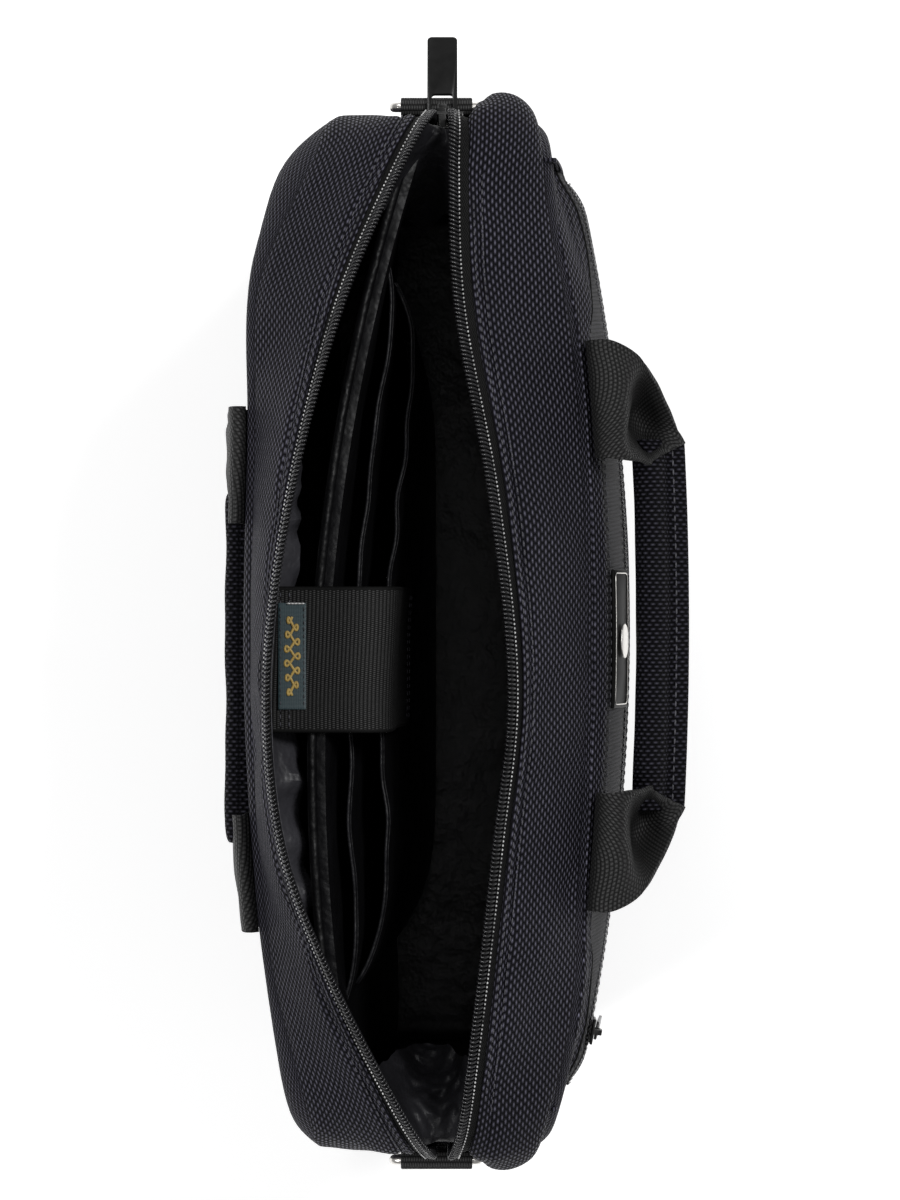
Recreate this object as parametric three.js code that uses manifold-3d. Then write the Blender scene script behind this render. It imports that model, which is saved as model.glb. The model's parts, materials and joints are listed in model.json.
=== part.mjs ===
// A soft briefcase for flight crew: a padded two-panel bag with a zipped top, shown wide open.
// Millimetres. +Z is up, +X is to the right seen from the front, the front faces -Y, and the
// origin is on the base, under the line of the zip.
import * as THREE from "three";
import { mergeVertices } from "three/addons/utils/BufferGeometryUtils.js";
import Module from "manifold-3d";

const wasm = await Module();
wasm.setup();

// ---- driving dimensions ----
const HALF_WIDTH = 178; // base centre to the outside of an end
const TOP = 280; // height of the two big panels
const BACK_Y = 52; // outside of the back panel at the base and at the ends
const FRONT_Y = -36; // outside of the front panel there
const BACK_BOW = 18; // how far the open mouth bows the panels out at the middle of the top
const FRONT_BOW = 16.5;
const BOW_POWER = 1.3; // the bow fades to nothing at the base
const TOP_CORNER = 28;
const BASE_CORNER = 12;

const GAP = 0.3; // between pieces sewn or laid against each other
const FABRIC = 1.5;
const FOAM = 4;
const LINING = 0.8;
const WEBBING = 1.4;
const LAYER_INSET = 3.2; // foam and lining stop short of the seams
const BOARD = 2.5;

const ZIP_Y = 1; // line of the main zip
const ZIP_START = TOP - 38; // the opening starts this high on each end
const COIL_WIDTH = 4;
const COIL_DEPTH = 2.4;
const COIL_PROUD = 0.4;
const COIL_GAP = 0.5; // tape to coil
const POST_HALF = 1.4; // half the slider's post, between the two coils
const TAPE_SHOWN = 7.7;
const TAPE = 0.6;
const TAPE_DEPTH = 0.5; // below the outer face of the fabric
const TAPE_EDGE = POST_HALF + 0.4 + COIL_WIDTH + COIL_GAP; // from the zip line to the tape's edge

const POCKET_HALF = 163;
const POCKET_TOP = TOP - 3;
const POCKET_BASE = 18;
const POCKET_CORNER = 25;
const POCKET_SKIN = 1.2;
const POCKET_PANEL = 2;
const POCKET_EDGE = 3.2; // pocket face to front panel at the top edge
const POCKET_EDGE_LOW = 8.2;
const POCKET_CROWN = 13;
const STRIP_BASE = 267; // lower edge of the strip along the pocket's top
const BAND_BASE = 246.3;
const CHAIN_Z = 237; // height of the pocket's zip
const CHAIN_WIDTH = 6;
const CHAIN_DEPTH = 1.8;

const HANDLE_WIDTH = 40;
const GRIP_THICK = 11;

// ---- geometry helpers ----
const vec = (x, y, z) => new THREE.Vector3(x, y, z);
const mix = (a, b, t) => a + (b - a) * t;
const RIGHT = 1;
const LEFT = -1;

// Turns a geometry the right way out and keeps only its welded positions.
function welded(geometry) {
  geometry.deleteAttribute("normal");
  geometry.deleteAttribute("uv");
  geometry.clearGroups();
  const g = mergeVertices(geometry, 1e-4);
  const p = g.attributes.position.array;
  const index = g.index.array;
  let volume = 0;
  for (let i = 0; i < index.length; i += 3) {
    const [a, b, c] = [0, 1, 2].map((k) => vec(...p.slice(index[i + k] * 3, index[i + k] * 3 + 3)));
    volume += a.dot(b.cross(c));
  }
  if (volume < 0) {
    for (let i = 0; i < index.length; i += 3) {
      [index[i + 1], index[i + 2]] = [index[i + 2], index[i + 1]];
    }
  }
  return g;
}

// A closed sheet over the surface at(u, v), from depth near to depth far along its normal, or
// along a fixed direction. Its grid has the given numbers of cells in u and v.
function sheet(at, cellsU, cellsV, near, far, direction) {
  const step = 1e-3;
  const positions = [];
  const row = cellsU + 1;
  const layer = row * (cellsV + 1);
  for (const depth of [near, far]) {
    for (let j = 0; j <= cellsV; j++) {
      for (let i = 0; i <= cellsU; i++) {
        const u = i / cellsU;
        const v = j / cellsV;
        const alongU = at(Math.min(u + step, 1), v).sub(at(Math.max(u - step, 0), v));
        const alongV = at(u, Math.min(v + step, 1)).sub(at(u, Math.max(v - step, 0)));
        const normal = direction ? direction.clone() : alongU.cross(alongV).normalize();
        positions.push(...at(u, v).addScaledVector(normal, depth).toArray());
      }
    }
  }
  const index = [];
  const quad = (a, b, c, d) => index.push(a, b, c, a, c, d);
  for (let j = 0; j < cellsV; j++) {
    for (let i = 0; i < cellsU; i++) {
      const a = j * row + i;
      quad(a, a + 1, a + row + 1, a + row);
      quad(layer + a, layer + a + row, layer + a + row + 1, layer + a + 1);
    }
  }
  for (let i = 0; i < cellsU; i++) {
    const top = cellsV * row + i;
    quad(i, layer + i, layer + i + 1, i + 1);
    quad(top, top + 1, layer + top + 1, layer + top);
  }
  for (let j = 0; j < cellsV; j++) {
    const a = j * row;
    const b = a + cellsU;
    quad(a, a + row, layer + a + row, layer + a);
    quad(b, layer + b, layer + b + row, b + row);
  }
  const g = new THREE.BufferGeometry();
  g.setAttribute("position", new THREE.Float32BufferAttribute(positions, 3));
  g.setIndex(index);
  return welded(g);
}

function box(x0, x1, y0, y1, z0, z1) {
  const g = new THREE.BoxGeometry(x1 - x0, y1 - y0, z1 - z0);
  g.translate((x0 + x1) / 2, (y0 + y1) / 2, (z0 + z1) / 2);
  return welded(g);
}

// A flat outline pushed through a depth, centred on its own plane.
function plate(outline, depth, bevel = 0, curveSegments = 6) {
  const g = new THREE.ExtrudeGeometry(outline, {
    depth: depth - 2 * bevel,
    bevelEnabled: bevel > 0,
    bevelThickness: bevel,
    bevelSize: bevel,
    bevelOffset: -bevel,
    bevelSegments: 1,
    curveSegments,
  });
  g.translate(0, 0, bevel - depth / 2);
  return g;
}

function outlineOf(points) {
  return new THREE.Shape(points.map(([x, y]) => new THREE.Vector2(x, y)));
}

function roundedRectangle(width, height, radius) {
  const shape = new THREE.Shape();
  const x = width / 2;
  const y = height / 2;
  shape.moveTo(-x + radius, -y);
  shape.lineTo(x - radius, -y);
  shape.absarc(x - radius, -y + radius, radius, -Math.PI / 2, 0);
  shape.lineTo(x, y - radius);
  shape.absarc(x - radius, y - radius, radius, 0, Math.PI / 2);
  shape.lineTo(-x + radius, y);
  shape.absarc(-x + radius, y - radius, radius, Math.PI / 2, Math.PI);
  shape.lineTo(-x, -y + radius);
  shape.absarc(-x + radius, -y + radius, radius, Math.PI, 1.5 * Math.PI);
  return shape;
}

// Stands a plate whose outline is in (x, z) so that it is pushed through along Y.
function standing(geometry, y = 0) {
  geometry.rotateX(Math.PI / 2);
  geometry.translate(0, y, 0);
  return welded(geometry);
}

function solid(geometry) {
  const g = welded(geometry.index ? geometry.toNonIndexed() : geometry.clone());
  return new wasm.Manifold(
    new wasm.Mesh({
      numProp: 3,
      vertProperties: new Float32Array(g.attributes.position.array),
      triVerts: new Uint32Array(g.index.array),
    }),
  );
}

function joined(...geometries) {
  const made = geometries.map(solid).reduce((a, b) => a.add(b));
  const mesh = made.getMesh();
  const g = new THREE.BufferGeometry();
  const positions = new Float32Array(mesh.numVert * 3);
  for (let i = 0; i < mesh.numVert; i++) {
    const from = i * mesh.numProp;
    positions.set(mesh.vertProperties.subarray(from, from + 3), i * 3);
  }
  g.setAttribute("position", new THREE.BufferAttribute(positions, 3));
  g.setIndex(new THREE.BufferAttribute(mesh.triVerts, 1));
  return g;
}

// ---- the bag ----
const bag = new THREE.Group();
bag.name = "flight_bag";

const finish = (color, roughness, metalness = 0) =>
  new THREE.MeshStandardMaterial({ color, roughness, metalness });
const BALLISTIC = finish(0x26262a, 0.75);
const TWILL = finish(0x1c1c1e, 0.6);
const WEB = finish(0x1a1a19, 0.8);
const SATIN = finish(0x101011, 0.45);
const FOAM_GREY = finish(0x3a3a3c, 0.95);
const BOARD_BLACK = finish(0x18181a, 0.7);
const TAPE_BLACK = finish(0x161618, 0.85);
const COIL_BLACK = finish(0x222226, 0.35);
const DARK_METAL = finish(0x1b1b1d, 0.4, 0.7);
const NICKEL = finish(0xb4b2ac, 0.25, 1);
const GLOSS = finish(0x0c0c0d, 0.15);
const LABEL = finish(0x12262a, 0.4);

function add(name, geometry, material) {
  const mesh = new THREE.Mesh(geometry, material);
  mesh.name = name;
  bag.add(mesh);
  return mesh;
}

// Height of a shallow arc of the given rise over the bag's width.
function bow(x, rise) {
  if (rise < 1e-6) return 0;
  const radius = (HALF_WIDTH ** 2 + rise ** 2) / (2 * rise);
  return Math.sqrt(radius ** 2 - x ** 2) - (radius - rise);
}

const opened = (z) => (Math.max(z, 0) / TOP) ** BOW_POWER;
const backY = (x, z) => BACK_Y + bow(x, BACK_BOW * opened(z));
const frontY = (x, z) => FRONT_Y - bow(x, FRONT_BOW * opened(z));

// Half the width of a panel with rounded corners, drawn in by inset, at height z.
function halfWidth(z, inset = 0) {
  const topCentre = TOP - TOP_CORNER;
  if (z > topCentre) {
    const r = TOP_CORNER - inset;
    return HALF_WIDTH - TOP_CORNER + Math.sqrt(Math.max(r * r - (z - topCentre) ** 2, 0));
  }
  if (z < BASE_CORNER) {
    const r = BASE_CORNER - inset;
    return HALF_WIDTH - BASE_CORNER + Math.sqrt(Math.max(r * r - (BASE_CORNER - z) ** 2, 0));
  }
  return HALF_WIDTH - inset;
}

// The heights of a panel's grid rows: close together round the corners.
const PANEL_ROWS = 9;
function panelHeight(v, inset) {
  const low = BASE_CORNER;
  const high = TOP - TOP_CORNER;
  const j = v * PANEL_ROWS;
  if (j <= 2) return low - (low - inset) * Math.cos((j / 2) * (Math.PI / 2));
  if (j >= 6) return high + (TOP - inset - high) * Math.sin(((j - 6) / 3) * (Math.PI / 2));
  return mix(low, high, (j - 2) / 4);
}

// One layer of a big panel, from depth near to depth far behind its outer face.
function panelLayer(faceY, inward, inset, near, far) {
  const at = (u, v) => {
    const z = panelHeight(v, inset);
    const x = (2 * u - 1) * halfWidth(z, inset);
    return vec(x, faceY(x, z), z);
  };
  return sheet(at, 10, PANEL_ROWS, near, far, vec(0, inward, 0));
}

const foamNear = FABRIC + GAP;
const liningNear = foamNear + FOAM + GAP;
const wallDepth = liningNear + LINING; // outer face to the inside of the lining

for (const [side, faceY, inward] of [["back", backY, -1], ["front", frontY, 1]]) {
  add(side + "_panel", panelLayer(faceY, inward, 0, 0, FABRIC), BALLISTIC);
  const foam = panelLayer(faceY, inward, LAYER_INSET, foamNear, foamNear + FOAM);
  add(side + "_foam", foam, FOAM_GREY);
  add(side + "_lining", panelLayer(faceY, inward, LAYER_INSET, liningNear, wallDepth), SATIN);
}

// ---- ends and base ----
const seam = FABRIC + GAP;
const gussetBack = BACK_Y - seam;
const gussetFront = FRONT_Y + seam;
const innerBack = BACK_Y - wallDepth - GAP;
const innerFront = FRONT_Y + wallDepth + GAP;

for (const [side, way] of [["left", LEFT], ["right", RIGHT]]) {
  const outer = way * HALF_WIDTH;
  const inner = way * (HALF_WIDTH - FABRIC);
  const [x0, x1] = [Math.min(outer, inner), Math.max(outer, inner)];
  const gussetTop = ZIP_START - GAP;
  const gussetLow = BASE_CORNER + 2 * GAP;
  add(side + "_end_gusset", box(x0, x1, gussetFront, gussetBack, gussetLow, gussetTop), BALLISTIC);
  const face = way * (HALF_WIDTH - FABRIC - GAP);
  const back = face - way * LINING;
  const [l0, l1] = [Math.min(face, back), Math.max(face, back)];
  add(side + "_lining", box(l0, l1, innerFront, innerBack, BASE_CORNER, gussetTop), SATIN);
}

// The base turns up into the ends with the panels' lower corners.
const BASE_TURN_CELLS = 3;
const boardHalf = HALF_WIDTH - BASE_CORNER;
const leftTurn = [...Array(BASE_TURN_CELLS + 1).keys()].map((i) => {
  const a = (1 - i / BASE_TURN_CELLS) * (Math.PI / 2);
  return [-boardHalf - BASE_CORNER * Math.sin(a), BASE_CORNER * (1 - Math.cos(a))];
});
const basePath = [...leftTurn, ...leftTurn.map(([x, z]) => [-x, z]).reverse()];
const baseCells = basePath.length - 1;
function baseStrip(u, v) {
  const i = Math.min(Math.floor(u * baseCells), baseCells - 1);
  const [from, to] = [basePath[i], basePath[i + 1]];
  const t = u * baseCells - i;
  return vec(mix(from[0], to[0], t), mix(gussetFront, gussetBack, v), mix(from[1], to[1], t));
}
add("base_gusset", sheet(baseStrip, baseCells, 1, 0, FABRIC), BALLISTIC);
const boardLow = FABRIC + GAP;
const baseLow = boardLow + BOARD + GAP;
const baseLiningTop = baseLow + LINING;
const board = box(-boardHalf, boardHalf, innerFront, innerBack, boardLow, boardLow + BOARD);
add("base_board", board, BOARD_BLACK);
add("base_lining", box(-boardHalf, boardHalf, innerFront, innerBack, baseLow, baseLiningTop), SATIN);

// ---- the zipped top: two lips of fabric, each with its tape and coil ----
// The seam between a panel and its lip, from the right end over the top to the left end.
function rimPoint(s) {
  const rise = TOP - TOP_CORNER - ZIP_START;
  const turn = (Math.PI / 2) * TOP_CORNER;
  const flat = HALF_WIDTH - TOP_CORNER;
  const length = 2 * (rise + turn + flat);
  const fromEnd = Math.min(s, 1 - s) * length;
  const way = s < 0.5 ? RIGHT : LEFT;
  if (fromEnd < rise) return [way * HALF_WIDTH, ZIP_START + fromEnd];
  if (fromEnd < rise + turn) {
    const a = (fromEnd - rise) / TOP_CORNER;
    return [way * (flat + TOP_CORNER * Math.cos(a)), TOP - TOP_CORNER * (1 - Math.sin(a))];
  }
  return [way * (rise + turn + flat - fromEnd), TOP];
}

const backTapeY = ZIP_Y + TAPE_EDGE;
const frontTapeY = ZIP_Y - TAPE_EDGE;
// The free edge of each lip stands up at the middle, where the mouth is pulled open, and runs
// straight up each end, where the slider works.
const STRAIGHT_ENDS = [0, 14, 28, 36]; // heights above the start of the zip
const straightEnd = (way, y) => STRAIGHT_ENDS.map((up) => vec(way * HALF_WIDTH, y, ZIP_START + up));
const backEdge = new THREE.CatmullRomCurve3([
  ...straightEnd(RIGHT, backTapeY),
  vec(177.4, 7.4, 281),
  vec(172, 10.5, 289),
  vec(160, 16.5, 294.5),
  vec(112, 36, 308),
  vec(38, 53.5, 319),
  vec(-22, 59.5, 321),
  vec(-70, 54.5, 319),
  vec(-112, 40, 313),
  vec(-160, 17.5, 298),
  vec(-172, 11, 290),
  vec(-177.4, 7.6, 281),
  ...straightEnd(LEFT, backTapeY).reverse(),
]);
const frontEdge = new THREE.CatmullRomCurve3([
  ...straightEnd(RIGHT, frontTapeY),
  vec(177.4, -5.3, 281),
  vec(171, -5.6, 287),
  vec(156, -5.4, 290),
  vec(112, -7, 295),
  vec(45, -18.5, 304.5),
  vec(-20, -24.4, 309),
  vec(-70, -19.5, 308),
  vec(-146, -11, 300),
  vec(-168, -8, 290),
  vec(-177, -5.5, 281),
  ...straightEnd(LEFT, frontTapeY).reverse(),
]);

const COIL_START = { [RIGHT]: 8.7, [LEFT]: 4 }; // above the start of the zip at each end
const stopDepth = 3.5;

function lip(side, edge, faceY, inward) {
  const length = edge.getLength();
  edge.arcLengthDivisions = 600;
  edge.updateArcLengths();
  const rimAt = (s) => {
    const [x, z] = rimPoint(s);
    return vec(x, faceY(x, z) + inward * seam, z);
  };
  // A point short of the lip's free edge by back, measured across the lip.
  const acrossAt = (s, back) => {
    const end = edge.getPointAt(s);
    const across = rimAt(s).sub(end);
    return end.addScaledVector(across.normalize(), back);
  };
  const widthAt = (s) => rimAt(s).distanceTo(edge.getPointAt(s));
  const cloth = (s, w) => acrossAt(s, mix(widthAt(s), TAPE_SHOWN + GAP, w));
  const tape = (s, w) => acrossAt(s, mix(TAPE_SHOWN, 0, w));
  const first = COIL_START[RIGHT] / length;
  const last = 1 - COIL_START[LEFT] / length;
  const coil = (s, w) => acrossAt(mix(first, last, s), mix(-COIL_GAP, -COIL_GAP - COIL_WIDTH, w));
  // The normal of (s, w) faces outwards on the back lip and inwards on the front one.
  const deep = (depth) => inward * depth;
  add(side + "_lip", sheet(cloth, 30, 2, deep(0), deep(WEBBING)), BALLISTIC);
  add(side + "_zip_tape", sheet(tape, 30, 1, deep(TAPE_DEPTH), deep(TAPE_DEPTH + TAPE)), TAPE_BLACK);
  const coilSheet = sheet(coil, 44, 1, deep(-COIL_PROUD), deep(COIL_DEPTH - COIL_PROUD));
  add(side + "_zip_coil", coilSheet, COIL_BLACK);
}
lip("back", backEdge, backY, -1);
lip("front", frontEdge, frontY, 1);

const coilFace = HALF_WIDTH + COIL_PROUD;
const coilBack = coilFace - COIL_DEPTH;
const coilHalf = TAPE_EDGE - COIL_GAP;
const stopTop = ZIP_START + COIL_START[RIGHT] - GAP;
add(
  "zip_bottom_stop",
  box(coilBack, coilFace, ZIP_Y - coilHalf, ZIP_Y + coilHalf, stopTop - stopDepth, stopTop),
  NICKEL,
);
for (const [side, way] of [["back", 1], ["front", -1]]) {
  const near = ZIP_Y + way * (coilHalf - COIL_WIDTH);
  const far = ZIP_Y + way * coilHalf;
  const top = ZIP_START + COIL_START[LEFT] - GAP;
  const [y0, y1] = [Math.min(near, far), Math.max(near, far)];
  add("zip_top_stop_" + side, box(-coilFace, -coilBack, y0, y1, top - 3, top), NICKEL);
}

// ---- zip sliders and pullers ----
// A slider's cross-section, across the zip (y) and out of it (x): two plates, the post between
// them and the lips that hold the coils in. x = 0 is the middle of the coil.
function sliderSection(half, channel, wall, post, slot) {
  const deep = channel / 2;
  const outer = deep + wall;
  const lipWidth = 1;
  const points = [
    [outer, half],
    [slot / 2, half],
    [slot / 2, half - lipWidth],
    [deep, half - lipWidth],
    [deep, post],
    [-deep, post],
    [-deep, half - lipWidth],
    [-slot / 2, half - lipWidth],
    [-slot / 2, half],
    [-outer, half],
  ];
  const mirrored = points.map(([x, y]) => [x, -y]).reverse();
  return outlineOf([...points, ...mirrored]);
}

// The low bridge that holds a puller, seen from the side: out (x) and along the zip (z).
function bridgeOutline(foot, reach, length, bar) {
  const shape = outlineOf([
    [foot, 0],
    [foot + reach * 0.6, 0],
    [foot + reach, bar],
    [foot + reach, length - bar],
    [foot + reach * 0.6, length],
    [foot, length],
  ]);
  shape.holes.push(
    new THREE.Path(
      [
        [foot + 0.2, bar],
        [foot + reach - bar, bar + 0.4],
        [foot + reach - bar, length - bar - 0.4],
        [foot + 0.2, length - bar],
      ].map(([x, y]) => new THREE.Vector2(x, y)),
    ),
  );
  return shape;
}

// A puller lying along +x from its hinge bar at the origin: a ring end, then a flat tab.
function pullerGeometry(length, width, ringLength, bar, thick) {
  const outline = roundedRectangle(length, width, 1.6);
  const tip = ringLength / 2;
  const hole = roundedRectangle(ringLength - bar * 2, width - bar * 2, 1.2);
  const holePath = new THREE.Path(
    hole.getPoints(3).map((p) => new THREE.Vector2(p.x - length / 2 + tip, p.y)),
  );
  outline.holes.push(holePath);
  const g = plate(outline, thick, 0, 3);
  g.translate(length / 2 - bar / 2, 0, 0);
  return g;
}

const SLIDER = { half: 7.4, length: 14, wall: 1.15, clearance: 0.65 };
const sliderLow = ZIP_START + COIL_START[RIGHT] + 0.1;
const coilMiddle = (coilFace + coilBack) / 2;
const channel = COIL_DEPTH + 2 * SLIDER.clearance;
const sliderFace = coilMiddle + channel / 2 + SLIDER.wall;
const BRIDGE = { reach: 3.8, length: 9.5, bar: 1.2, width: 3 };
const PULLER = { length: 33, width: 10.5, ring: 10, bar: 1.5, thick: 1.4, tilt: 28 };

const sliderBody = plate(
  sliderSection(SLIDER.half, channel, SLIDER.wall, POST_HALF, 2.2),
  SLIDER.length,
);
sliderBody.translate(coilMiddle, ZIP_Y, sliderLow + SLIDER.length / 2);
const bridge = plate(bridgeOutline(0, BRIDGE.reach, BRIDGE.length, BRIDGE.bar), BRIDGE.width);
bridge.rotateX(Math.PI / 2);
bridge.translate(sliderFace - 0.3, ZIP_Y, sliderLow + 0.3);
add("zip_slider", joined(sliderBody, bridge), DARK_METAL);

// The puller lies outwards, on the webbing loop of the strap ring just under it.
const pullerHinge = vec(sliderFace + 1.15, ZIP_Y, sliderLow + BRIDGE.bar + 1.6);
const puller = pullerGeometry(PULLER.length, PULLER.width, PULLER.ring, PULLER.bar, PULLER.thick);
puller.rotateY((PULLER.tilt * Math.PI) / 180);
puller.translate(...pullerHinge.toArray());
add("zip_puller", welded(puller), DARK_METAL);

// ---- strap rings at the two ends ----
const RING = { bar: 1.75, width: 28.8, drop: 20, lean: 8, y: 3 };
const TAB = { width: 25, ply: 1.2, foot: TOP - 75, hole: 2.1 };
const tabOuter = TAB.hole + TAB.ply;
const ringX = sliderFace + 4;
const ringZ = sliderLow - GAP - tabOuter; // the loop's top is just under the slider

function tabOutline() {
  const shape = new THREE.Shape();
  const face = HALF_WIDTH + GAP;
  shape.moveTo(face, TAB.foot);
  shape.lineTo(face + 2 * TAB.ply, TAB.foot);
  shape.lineTo(face + 2 * TAB.ply, ringZ - 9);
  shape.lineTo(ringX + tabOuter * Math.cos(-0.3), ringZ + tabOuter * Math.sin(-0.3));
  shape.absarc(ringX, ringZ, tabOuter, -0.3, Math.PI, false);
  shape.lineTo(face, ringZ - 9);
  const hole = new THREE.Path();
  hole.absarc(ringX, ringZ, TAB.hole, 0, 2 * Math.PI, true);
  shape.holes.push(hole);
  return shape;
}

function ringOutline() {
  const half = RING.width / 2 + RING.bar;
  const inside = RING.width / 2 - RING.bar;
  const trace = (path, wide, top, deep) => {
    path.moveTo(wide, top);
    path.lineTo(-wide, top);
    path.lineTo(-wide, -deep + wide * 0.62);
    path.quadraticCurveTo(-wide, -deep, 0, -deep);
    path.quadraticCurveTo(wide, -deep, wide, -deep + wide * 0.62);
    return path;
  };
  const shape = trace(new THREE.Shape(), half, RING.bar, RING.drop + RING.bar);
  shape.holes.push(trace(new THREE.Path(), inside, -RING.bar, RING.drop - RING.bar));
  return shape;
}

for (const [side, way] of [["left", LEFT], ["right", RIGHT]]) {
  const tab = standing(plate(tabOutline(), TAB.width, 0, 5), RING.y);
  const ring = plate(ringOutline(), 2 * RING.bar, 0.9, 5);
  ring.rotateX(Math.PI / 2);
  ring.rotateZ(Math.PI / 2);
  ring.rotateY((-RING.lean * Math.PI) / 180);
  ring.translate(ringX, RING.y, ringZ);
  if (way === LEFT) {
    for (const g of [tab, ring]) g.scale(-1, 1, 1);
  }
  add(side + "_ring_tab", welded(tab), WEB);
  add(side + "_d_ring", welded(ring), NICKEL);
}

// ---- front pocket ----
// Every level of the pocket's face is an arc over the bag's width, so its zip is a true arc.
const pocketMiddle = (POCKET_TOP + 1 + POCKET_BASE) / 2;
const pocketReach = POCKET_TOP + 1 - pocketMiddle;
function pocketRise(z) {
  const swell = Math.max(1 - ((z - pocketMiddle) / pocketReach) ** 2, 0) ** 0.7;
  return FRONT_BOW * opened(z) + POCKET_CROWN * swell;
}
const pocketEdge = (z) => mix(POCKET_EDGE_LOW, POCKET_EDGE, (z / POCKET_TOP) ** 6);
const pocketY = (x, z) => FRONT_Y - pocketEdge(z) - bow(x, pocketRise(z));

function pocketSheet(z0, z1, cellsV, thick, half = POCKET_HALF) {
  const at = (u, v) => {
    const z = mix(z0, z1, v);
    const x = mix(-half, half, u);
    return vec(x, pocketY(x, z), z);
  };
  return sheet(at, 10, cellsV, 0, thick, vec(0, 1, 0));
}
const POCKET_TOP_HALF = POCKET_HALF - 1.5;
const strip = pocketSheet(STRIP_BASE, POCKET_TOP, 1, POCKET_SKIN, POCKET_TOP_HALF);
add("pocket_top_strip", strip, BALLISTIC);
const band = pocketSheet(BAND_BASE, STRIP_BASE - GAP, 2, POCKET_SKIN, POCKET_TOP_HALF);
add("pocket_band", band, TWILL);

const chainLow = CHAIN_Z - CHAIN_WIDTH / 2;
const chainHigh = CHAIN_Z + CHAIN_WIDTH / 2;
const pocketPanelTop = BAND_BASE - 18;
const upperTape = pocketSheet(chainHigh + GAP, BAND_BASE - GAP, 1, TAPE, POCKET_TOP_HALF);
add("pocket_zip_upper_tape", upperTape, TAPE_BLACK);
const lowerTape = pocketSheet(pocketPanelTop + GAP, chainLow - GAP, 1, TAPE, POCKET_TOP_HALF);
add("pocket_zip_lower_tape", lowerTape, TAPE_BLACK);
const chainHalf = POCKET_TOP_HALF - 2;
const chainAt = (u, v) => {
  const x = mix(-chainHalf, chainHalf, u);
  return vec(x, pocketY(x, CHAIN_Z), mix(chainLow, chainHigh, v));
};
const chainFront = 0.6;
const chain = sheet(chainAt, 30, 1, -chainFront, CHAIN_DEPTH - chainFront, vec(0, 1, 0));
add("pocket_zip_chain", chain, COIL_BLACK);

function pocketHalfAt(z) {
  const low = POCKET_BASE + POCKET_CORNER;
  if (z >= low) return POCKET_HALF;
  return POCKET_HALF - POCKET_CORNER + Math.sqrt(Math.max(POCKET_CORNER ** 2 - (low - z) ** 2, 0));
}
const POCKET_ROWS = 9;
const pocketPanelAt = (u, v) => {
  const low = POCKET_BASE + POCKET_CORNER;
  const j = v * POCKET_ROWS;
  const z =
    j <= 3
      ? low - POCKET_CORNER * Math.cos((j / 3) * (Math.PI / 2))
      : mix(low, pocketPanelTop, (j - 3) / (POCKET_ROWS - 3));
  const x = (2 * u - 1) * pocketHalfAt(z);
  return vec(x, pocketY(x, z), z);
};
const pocketPanel = sheet(pocketPanelAt, 10, POCKET_ROWS, 0, POCKET_PANEL, vec(0, 1, 0));
add("pocket_front_panel", pocketPanel, BALLISTIC);

// The pocket's gusset runs down one side, along the bottom and up the other side, behind the
// edge of its face.
function pocketRim(s) {
  const sideLength = POCKET_TOP - 8 - POCKET_BASE - POCKET_CORNER;
  const turn = (Math.PI / 2) * POCKET_CORNER;
  const flat = POCKET_HALF - POCKET_CORNER;
  const length = 2 * (sideLength + turn + flat);
  const fromEnd = Math.min(s, 1 - s) * length;
  const way = s < 0.5 ? LEFT : RIGHT;
  if (fromEnd < sideLength) return [way * POCKET_HALF, POCKET_TOP - 8 - fromEnd];
  if (fromEnd < sideLength + turn) {
    const a = (fromEnd - sideLength) / POCKET_CORNER;
    return [
      way * (flat + POCKET_CORNER * Math.cos(a)),
      POCKET_BASE + POCKET_CORNER * (1 - Math.sin(a)),
    ];
  }
  return [way * (sideLength + turn + flat - fromEnd), POCKET_BASE];
}
const pocketGussetAt = (s, w) => {
  const [x, z] = pocketRim(s);
  const near = frontY(x, z) - 2 * GAP;
  const far = pocketY(x, z) + POCKET_PANEL + GAP;
  return vec(x, mix(near, far, w), z);
};
add("pocket_gusset", sheet(pocketGussetAt, 36, 1, 0, -POCKET_SKIN), BALLISTIC);

// The pocket's slider rides on the chain near its left end.
const POCKET_SLIDER = { x: -140, half: 4.6, length: 9, wall: 0.9, clearance: 0.45 };
const pocketZipRise = pocketRise(CHAIN_Z);
const pocketArc = (HALF_WIDTH ** 2 + pocketZipRise ** 2) / (2 * pocketZipRise);
const arcCentreY = pocketY(0, CHAIN_Z) + pocketArc;
// Pieces are made at the middle of the arc, facing -Y, then turned round its centre.
function onPocketZip(geometry) {
  geometry.translate(0, -pocketArc, 0);
  geometry.rotateZ(Math.asin(POCKET_SLIDER.x / pocketArc));
  geometry.translate(0, arcCentreY, CHAIN_Z);
  return geometry;
}
const POCKET_BRIDGE = { reach: 3, length: 6.5, bar: 0.9, width: 2 };

const pocketPlateBack = -chainFront - POCKET_SLIDER.clearance;
const pocketPlateFront = pocketPlateBack - POCKET_SLIDER.wall;
const pocketPlate = box(
  -POCKET_SLIDER.length / 2,
  POCKET_SLIDER.length / 2,
  pocketPlateFront,
  pocketPlateBack,
  -POCKET_SLIDER.half,
  POCKET_SLIDER.half,
);
const { reach: bridgeReach, length: bridgeLength, bar: bridgeBar } = POCKET_BRIDGE;
const pocketBridge = plate(bridgeOutline(0, bridgeReach, bridgeLength, bridgeBar), POCKET_BRIDGE.width);
// Outline (out, along the chain) stands out along -Y with its length along Z.
pocketBridge.rotateX(Math.PI / 2);
pocketBridge.rotateZ(-Math.PI / 2);
pocketBridge.translate(0, pocketPlateFront + 0.2, -bridgeLength / 2);
add("pocket_zip_slider", onPocketZip(joined(pocketPlate, pocketBridge)), DARK_METAL);

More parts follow.
